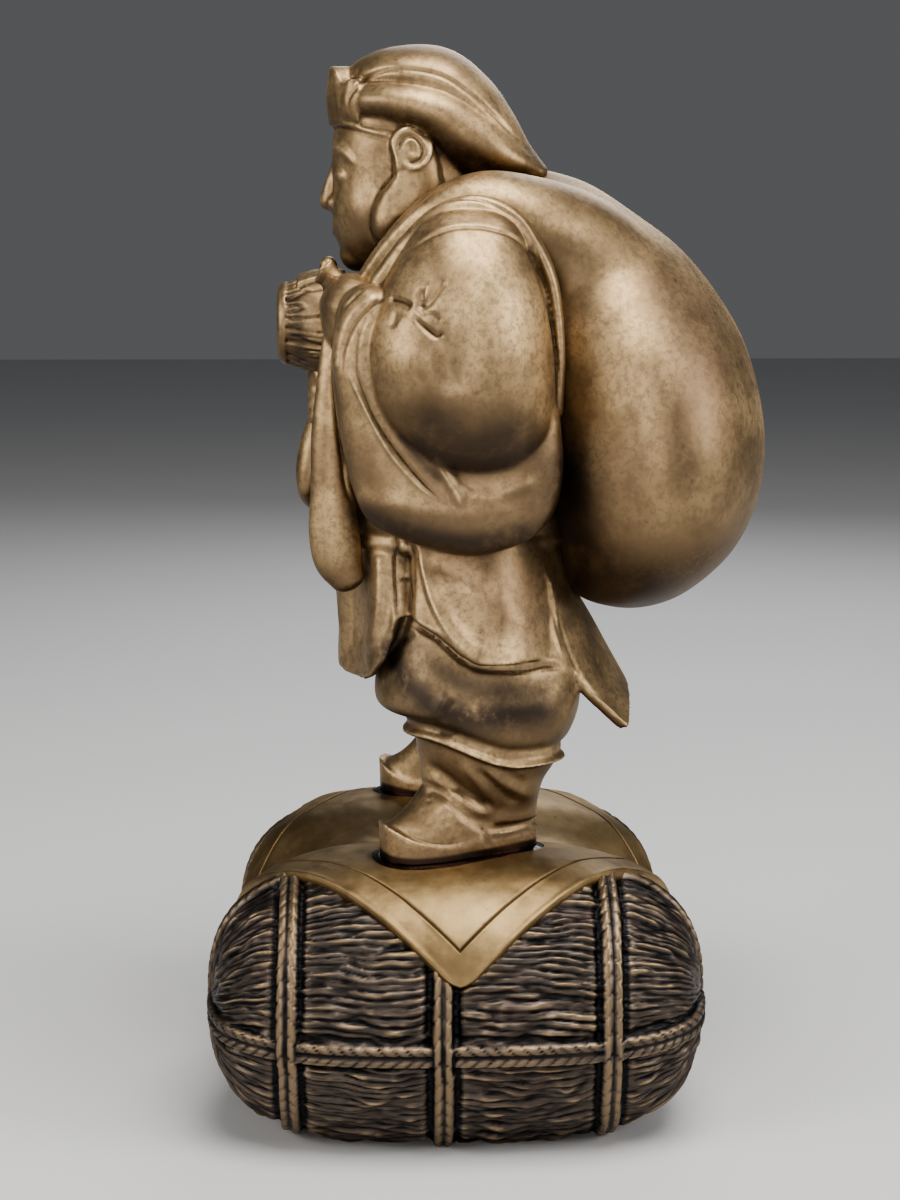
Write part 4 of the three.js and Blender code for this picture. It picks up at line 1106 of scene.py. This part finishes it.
def bale_profile(turn):
    """Where along the bale a turn from its middle towards an end comes, and how full its girth is there."""
    return HALF[1] * power(np.sin(turn), 2 / END_ROUNDNESS), np.abs(np.cos(turn)) ** (2 / END_ROUNDNESS)


def arc_table(xs, ys, at):
    """The distances along a line, and what stands at them."""
    return np.concatenate([[0], np.cumsum(np.hypot(np.diff(xs), np.diff(ys)))]), at


turn_rows = np.linspace(0, 1, 400) ** (END_ROUNDNESS / 2) * math.pi / 2
LENGTHWISE = arc_table(bale_profile(turn_rows)[0], HALF[2] * bale_profile(turn_rows)[1], turn_rows)
CROSSWISE_END = -math.pi / 6  # how far down the bale's outer side the cloth is laid
angle_rows = np.linspace(math.pi / 2, CROSSWISE_END, 400)
girth_points = bale_point(0, 1, angle_rows)
CROSSWISE = arc_table(girth_points[:, 0], girth_points[:, 2], angle_rows)
OUT_OF_REACH = 999


def cloth_reach(turn, angle):
    """How far over the cloth, from its middle, a place on the bale is."""
    along = np.interp(np.abs(turn), LENGTHWISE[1], LENGTHWISE[0])
    angle = (angle + math.pi / 2) % TAU - math.pi / 2
    across = np.interp(-angle, -CROSSWISE[1], CROSSWISE[0])
    across = np.where(angle > math.pi / 2, 0, across)
    return along + BALE_X + across + np.where(angle < CROSSWISE_END, OUT_OF_REACH, 0)


# Ropes and hoops are two strands side by side: how far each is off the middle, its width, the pitch of its
# twist, its height, and the height and the half width of the floor under both
ROPE = (2.2, 4.2, 5.6, 2.5, 1.2, 3.6)
HOOP = (2.3, 4.4, 8.0, 2.7, 1.5, 4.2)


def strand(across, along, width, pitch, height, seed):
    """A flattened strand of a twisted rope, cut across by slanting gaps at uneven distances."""
    inside = np.clip(np.abs(across) / (width / 2), 0, 1)
    slant = (along + 1.3 * across + 1.8 * noise(along / 11, seed, 1.5)) / pitch
    swell = np.sqrt(np.clip(1 - (2 * (slant % 1) - 1) ** 4, 0, 1))
    return height * (1 - inside**3) * (0.35 + 0.65 * swell)


def twisted(across, along, rope, seeds):
    """The height of a rope or a hoop: two strands side by side."""
    apart, width, pitch, height, floor, half = rope
    heights = [floor * ease(half - np.abs(across), 0, 0.8)]
    for k, seed in zip((-1, 1), seeds):
        heights.append(strand(across - apart * k, along * k, width, pitch, height, seed))
    return np.maximum.reduce(np.broadcast_arrays(*heights))


def strands_of_straw(along, across, pitch, length, seed):
    """Strands side by side, each of them swelling and sinking along its length."""
    row = np.floor(across / pitch)
    off = 2 * (across / pitch - row) - 1
    tall = 0.52 + 0.6 * noise(along / length + 9 * noise(row, seed, 7.0), row, seed)
    return np.clip(tall, 0.06, 1) * np.sqrt(np.clip(1 - off**2, 0, 1))


def straw(along, round_it, seed):
    """Bundled straw: wavy strands of uneven height, with narrow clefts between them."""
    sway = 2.6 * noise(along / 30, round_it / 24, seed) + noise(along / 10, round_it / 8, seed + 1)
    across = round_it + sway
    thick = strands_of_straw(along, across, 3.3, 10.0, seed + 2)
    thin = strands_of_straw(along + 4, across + 1.2, 1.9, 7.0, seed + 9)
    ragged = noise(along / 3.5, across / 1.1, seed + 4)
    swell = noise(along / 18, across / 7, seed + 5)
    return 2.6 * thick + 0.9 * thin + 0.35 * ragged + 0.9 * swell - 2.3


def bale_relief(turn, angle, y, share, seed):
    """The height of straw, hoops and ropes over the bale's plain form, and how much of it is rope."""
    girth = angle * HALF[0]
    length = np.sign(turn) * np.interp(np.abs(turn), LENGTHWISE[1], LENGTHWISE[0]) + 0 * angle
    few = straw(length, girth / 2, seed)  # half as many strands, near the middle of the ends
    relief = mix(few, straw(length, girth, seed), ease(share, 0.42, 0.62))
    ropes, crossing, hoops = (np.zeros_like(relief) for _ in range(3))
    # Two ropes run the length of the bale and cross in the middle of its ends
    for middle in ROPE_ANGLES:
        across = ((angle - middle + math.pi) % TAU - math.pi) * HALF[0] * share
        ropes = np.maximum(ropes, twisted(across, length, ROPE, (seed - 3, seed + 3)))
        relief = relief - 1.2 * bump(np.abs(across) - 5.6, 1.2)
        crossing = np.maximum(crossing, bump(across, 6.5))
    # Hoops go over the ropes, with a narrow channel on either side
    for place in HOOP_PLACES:
        away = y - place + 0.5 * noise(girth / 25, seed, 6.0)
        hoops = np.maximum(hoops, twisted(away, girth, HOOP, (seed - 1, seed + 1)))
        relief = relief - 1.4 * bump(np.abs(away) - 6.0, 1.3) - 0.8 * bump(away, 11)
    hoops = hoops * (1 + 0.45 * crossing)
    cover = np.maximum(ropes * (1 - 0.8 * ease(hoops, 0.2, 1)), hoops)
    tied = ease(cover, 0.2, 1.4)
    return mix(relief * ease(share, 0.05, 0.4), cover - 0.5, tied), tied


def crests(height):
    """How far each point of a grid of heights stands over the mean of those round it."""
    mean = height
    for axis in (0, 1):
        mean = sum(np.roll(mean, k, axis) for k in range(-3, 4)) / 7
    return height - mean


def bale(side, sides, levels, seed):
    """Rings at even distances along the bale, and more points on its outer side than on its inner one."""
    reach = np.linspace(-1, 1, levels)[:, None] * (LENGTHWISE[0][-1] - 1)
    turn = np.sign(reach) * np.interp(np.abs(reach), *LENGTHWISE)
    around = turns(sides)[None]
    angle = around - 0.45 * np.sin(around - 0.2) - 0.3
    y, share = bale_profile(turn)
    height, tied = bale_relief(turn, angle, y, share, seed)
    covered = ease(CLOTH_HALF - cloth_reach(turn, angle), 0, 5)
    height = mix(height, -UNDER_CLOTH, covered)
    points = bale_point(y, share, angle, height * share**2)
    points[..., 1] += np.sign(turn) * height * (1 - share**2)
    points[..., 1] *= length_at(side * BALE_X)
    points[..., 0] *= side
    points[..., 2] = np.maximum(points[..., 2], 0)
    return skin(points), {"crest": np.append(crests(height), [1, 1]), "tied": np.append(tied, [1, 1])}


def cloth_point(a, b, lift):
    """Where a place on the flat cloth comes to lie: a runs across the bales and b along them."""
    y, share = bale_profile(np.interp(np.abs(b), *LENGTHWISE))
    over = np.maximum(0, np.abs(a) - BALE_X) / np.maximum(share, 0.4)
    p = bale_point(y * np.sign(b), share, np.interp(over, *CROSSWISE), lift * mix(0.5, 1, share))
    p[..., 1] += np.sign(b) * lift * (1 - share)
    p[..., 0] = np.sign(a) * np.where(over > 0, p[..., 0], np.abs(a))
    between = np.cos((math.pi / 2) * np.minimum(1, np.abs(a) / (BALE_X - CLOTH_SHOULDER))) ** 2
    p[..., 2] -= between * mix(CLOTH_DIP, CLOTH_SAG, ease(np.abs(b), 40, CLOTH_HALF))
    p[..., 1] *= length_at(p[..., 0])
    return p


def sole_distance(x, y):
    """How far outside the nearer shoe's sole a place on the base is."""
    rim = stacked(*sole(turns(240))[:2]) * SCALE + (SHIFT - BASE_SHIFT)[:2]
    return np.hypot(np.abs(x)[..., None] - rim[:, 0], y[..., None] - rim[:, 1]).min(-1)


def blunted(reach):
    """A distance along the cloth's diagonal, drawn in towards the corners, which are slightly rounded."""
    past = np.maximum(np.abs(reach) - CLOTH_HALF + CORNER, 0)
    return np.sign(reach) * (np.abs(reach) - past + BLUNT * (1 - np.exp(-past / BLUNT)))


def cloth():
    """The cloth, and for each of its points the distances to its edge and to the soles."""
    half = CLOTH_HALF / math.sqrt(2)
    inset_of = ([0, 0.045, 0.125, 0.215, 0.5], [0, 1.8, 12, 15.2, half])  # rows lie closest along the seam
    insets = []

    def spread(u):
        return np.sign(u - 0.5) * (half - np.interp(np.minimum(u, 1 - u), *inset_of))

    def place(u, v, face):
        lift, root, drawn = face
        p, q = spread(u), spread(v)
        across, along = blunted((p + q) / math.sqrt(2)), blunted((q - p) / math.sqrt(2))
        inset = half - np.maximum(np.abs(p), np.abs(q))
        insets.append(inset.ravel())
        seam = -0.8 * bump(inset - SEAM_INSET, 0.55) + 0.15 * bump(inset - SEAM_INSET + 1.1, 0.8)
        edge = 0.35 * bump(inset - 1.5, 1.2) - 1.2 * ease(0.8 - inset, 0, 0.8)
        soft = 0.5 * noise(across / 30, along / 30, 2.0) + 0.15 * noise(across / 5, along / 5, 8.0)
        flat = cloth_point(across, along, lift)
        bead = bump(sole_distance(flat[..., 0], flat[..., 1]), 2.6)
        relief = (seam + edge + soft + bead) * drawn
        return cloth_point(across, along, lift - root * ease(np.abs(across), 0, 40) + relief)

    form = sheet(place, (CLOTH_THICK, 0, 1), (-1, CLOTH_ROOT, 0), CLOTH_CELLS, CLOTH_CELLS)
    return form, {"inset": np.concatenate(insets), "sole": sole_distance(*form[0].T[:2])}


# Each bale's side, the points round it, its rings, and the number that its straw grows from
BALES = {"bale_left": (1, 404, 244, 20), "bale_right": (-1, 260, 168, 60)}


def build_base():
    made = {name: bale(*row) for name, row in BALES.items()}
    made["base_cloth"] = cloth()
    pieces = []
    for name, ((points, faces), looks) in made.items():
        mesh = new_mesh(name, (points + BASE_SHIFT) / 1000, faces)
        pieces.append(finished(name, mesh, looks, "rice_bales"))
    return pieces


# Materials
class Nodes:
    """A material's node tree, built by short calls. Its colour is laid on coat by coat."""

    def __init__(self, name):
        self.material = bpy.data.materials.new(name)
        self.material.use_nodes = True
        self.tree = self.material.node_tree
        self.shader = self.tree.nodes["Principled BSDF"]
        self.where = self.add("ShaderNodeTexCoord").outputs["Object"]
        self.colour = None

    def add(self, kind, settings=None, **inputs):
        node = self.tree.nodes.new(kind)
        for key, value in (settings or {}).items():
            setattr(node, key, value)
        for key, value in inputs.items():
            self.put(node, key, value)
        return node

    def put(self, node, key, value):
        socket = node.inputs[key]
        if isinstance(value, bpy.types.NodeSocket):
            self.tree.links.new(value, socket)
        else:
            socket.default_value = value

    def math(self, operation, a, b=0.0, clamp=False):
        node = self.add("ShaderNodeMath", {"operation": operation, "use_clamp": clamp})
        self.put(node, 0, a)
        self.put(node, 1, b)
        return node.outputs[0]

    def plus(self, a, b, clamp=False):
        return self.math("ADD", a, b, clamp)

    def times(self, a, b):
        return self.math("MULTIPLY", a, b)

    def ramp(self, value, low, high):
        node = self.add("ShaderNodeMapRange", {"interpolation_type": "SMOOTHSTEP"})
        for key, v in zip(("Value", "From Min", "From Max"), (value, low, high)):
            self.put(node, key, v)
        return node.outputs[0]

    def blend(self, share, a, b):
        node = self.add("ShaderNodeMix", {"data_type": "RGBA"})
        for key, value in ((0, share), (6, a), (7, b)):
            self.put(node, key, (*value, 1) if isinstance(value, tuple) else value)
        return node.outputs[2]

    def coat(self, colour, share, strength=None):
        self.colour = self.blend(self.times(share, strength) if strength else share, self.colour, colour)

    def noise(self, scale, detail=4.0, rough=0.55, stretch=None):
        where = self.where
        if stretch:
            vector = self.add("ShaderNodeVectorMath", {"operation": "MULTIPLY"})
            self.put(vector, 0, where)
            self.put(vector, 1, stretch)
            where = vector.outputs[0]
        node = self.add("ShaderNodeTexNoise", Vector=where, Scale=scale, Detail=detail, Roughness=rough)
        return node.outputs["Fac"]

    def attribute(self, name):
        return self.add("ShaderNodeAttribute", {"attribute_name": name}).outputs["Fac"]

    def done(self, roughness, metallic=0.0, height=None, strength=0.3):
        """The material, with the height as a fine bump."""
        for key, value in (("Base Color", self.colour), ("Roughness", roughness), ("Metallic", metallic)):
            self.put(self.shader, key, value)
        if height:
            node = self.add("ShaderNodeBump", Height=height, Strength=strength, Distance=BUMP_DEPTH)
            self.put(self.shader, "Normal", node.outputs[0])
        return self.material


BUMP_DEPTH = 0.0007
COMPOUND = (0.055, 0.034, 0.028)  # the dark ring between the soles and the cloth
RUBBED = (0.33, 0.24, 0.145)  # the base's metal where its patina is rubbed off


def golden_bronze():
    n = Nodes("golden_bronze")
    fine, broad, mottle = n.attribute("fine"), n.attribute("broad"), n.noise(24, 7, 0.66)
    speck = n.noise(170, 5, 0.7)
    n.colour = n.blend(n.ramp(mottle, 0.36, 0.66), (0.3, 0.212, 0.118), (0.6, 0.435, 0.245))
    n.coat((0.27, 0.18, 0.115), n.ramp(n.noise(9, 4, 0.6), 0.48, 0.68), 0.7)
    n.coat((0.8, 0.62, 0.37), n.ramp(n.times(fine, -1), 0.06, 0.35), 0.55)
    # painted shade: darker wherever the surface faces down
    n.coat((0.065, 0.042, 0.024), n.ramp(n.attribute("under"), -0.2, 0.65), 0.88)
    hollow = n.plus(n.ramp(fine, 0.05, 0.38), n.ramp(broad, 0.4, 2.8), True)
    n.coat((0.045, 0.027, 0.015), hollow, 0.9)
    n.coat((0.1, 0.065, 0.035), n.ramp(speck, 0.63, 0.74), 0.55)
    n.coat((0.19, 0.13, 0.08), n.ramp(n.noise(340, 5, 0.72), 0.44, 0.62), 0.5)
    # stains together with painted shade, from the table of stains and shade
    n.coat((0.062, 0.047, 0.037), n.times(n.attribute("stain_and_shade"), n.ramp(n.noise(45, 5, 0.65), 0.25, 0.52)))
    ring = n.ramp(n.times(n.attribute("gap"), -1), -4.6, -2.8)
    n.coat(COMPOUND, ring)
    rough = n.plus(n.plus(0.4, n.times(mottle, 0.2)), n.times(hollow, 0.12))
    rough = n.math("SUBTRACT", rough, n.times(ring, 0.2))
    return n.done(rough, 1.0, n.plus(n.times(speck, 0.5), n.times(n.noise(60, 5), 0.7)))


def dark_bronze():
    n = Nodes("dark_bronze")
    crest, tied, mottle = n.attribute("crest"), n.attribute("tied"), n.noise(40, 5, 0.6)
    streak = n.math("SUBTRACT", n.noise(110, 4, 0.6, (1.0, 0.16, 1.0)), 0.5)
    level = n.plus(crest, n.times(streak, 1.6))
    n.colour = n.blend(n.ramp(level, -0.8, 0.45), (0.012, 0.012, 0.013), (0.1, 0.08, 0.066))
    n.coat(RUBBED, n.times(n.ramp(level, 0.4, 1.2), n.math("SUBTRACT", 0.8, n.times(tied, 0.5))))
    n.coat((0.055, 0.034, 0.03), n.ramp(mottle, 0.5, 0.7), 0.3)
    n.coat(RUBBED, n.times(tied, n.ramp(n.plus(crest, n.times(mottle, 2.4)), 1.1, 2.4)), 0.55)
    return n.done(n.plus(0.34, n.times(mottle, 0.22)), 0.9, n.noise(300, 4, 0.6, (1.0, 0.2, 1.0)), 0.4)


def cloth_bronze():
    n = Nodes("cloth_bronze")
    mottle = n.noise(26, 7, 0.65)
    n.colour = n.blend(n.ramp(mottle, 0.35, 0.68), (0.2, 0.138, 0.068), (0.39, 0.28, 0.145))
    n.coat((0.12, 0.08, 0.04), n.ramp(n.noise(170, 5, 0.7), 0.62, 0.74), 0.55)
    off_seam = n.math("ABSOLUTE", n.math("SUBTRACT", n.attribute("inset"), SEAM_INSET))
    n.coat((0.05, 0.03, 0.016), n.ramp(n.times(off_seam, -1), -0.75, -0.2), 0.85)
    ring = n.ramp(n.times(n.attribute("sole"), -1), -3.6, -2.7)
    n.coat(COMPOUND, ring)
    rough = n.math("SUBTRACT", n.plus(0.38, n.times(mottle, 0.22)), n.times(ring, 0.3))
    return n.done(rough, 1.0, n.noise(160, 5))


def plain(name, colour, roughness):
    n = Nodes(name)
    n.colour = n.blend(n.noise(3, 2), colour, tuple(c * 0.96 for c in colour))
    return n.done(roughness)


# Studio
LIT = Vector((0, 0, 0.25))  # where the lights point
SENSOR = 36
LIGHTS = [
    # name, place, size, watts, colour
    ("ceiling", (0.5, 0.25, 1.75), 1.2, 31, (1, 0.98, 0.95)),
    ("front", (0.8, -1.4, 0.9), 0.8, 13, (1, 0.97, 0.93)),
    ("side", (0.7, 1.5, 0.8), 0.8, 13, (1, 0.98, 0.95)),
    ("back", (-1.5, 0.3, 1.2), 1.0, 8, (0.95, 0.97, 1)),
    ("fill", (1.7, -0.2, 0.5), 0.9, 7, (1, 0.98, 0.95)),
]


def studio():
    scene = bpy.context.scene

    def added(name, data, place, towards=None):
        made = bpy.data.objects.new(name, data)
        made.location = place
        if towards:
            made.rotation_euler = towards.to_track_quat("-Z", "Y").to_euler()
        scene.collection.objects.link(made)
        return made

    corners = np.array([(-6, -6, 0), (6, -6, 0), (6, 6, 0), (-6, 6, 0)], float)
    floor = added("floor", new_mesh("floor", corners, np.array([[0, 1, 2, 3]])), (0, 0, 0))
    floor.data.materials.append(plain("floor", (0.62, 0.62, 0.62), 0.9))
    scene.world = bpy.data.worlds.new("studio")
    scene.world.use_nodes = True
    background = scene.world.node_tree.nodes["Background"]
    background.inputs["Color"].default_value = (0.86, 0.88, 0.92, 1)
    background.inputs["Strength"].default_value = 0.12
    for name, place, size, energy, colour in LIGHTS:
        light = bpy.data.lights.new(name, "AREA")
        light.shape = "DISK"
        light.size, light.energy, light.color = size, energy, colour
        added(name, light, place, LIT - Vector(place))
    lens = bpy.data.cameras.new("camera")
    lens.sensor_width = SENSOR
    lens.lens = FOCAL * SENSOR / PHOTO[1]
    lens.clip_start = 0.05
    scene.camera = added("camera", lens, EYE / 1000, Vector(AHEAD))
    scene.view_settings.view_transform = "AgX"
    scene.view_settings.look = "AgX - Medium High Contrast"


studio()
gold = golden_bronze()
for piece in build_figure():
    piece.data.materials.clear()
    piece.data.materials.append(gold)
dark, cloth_metal = dark_bronze(), cloth_bronze()
for piece in build_base():
    piece.data.materials.clear()
    piece.data.materials.append(cloth_metal if piece.name == "base_cloth" else dark)
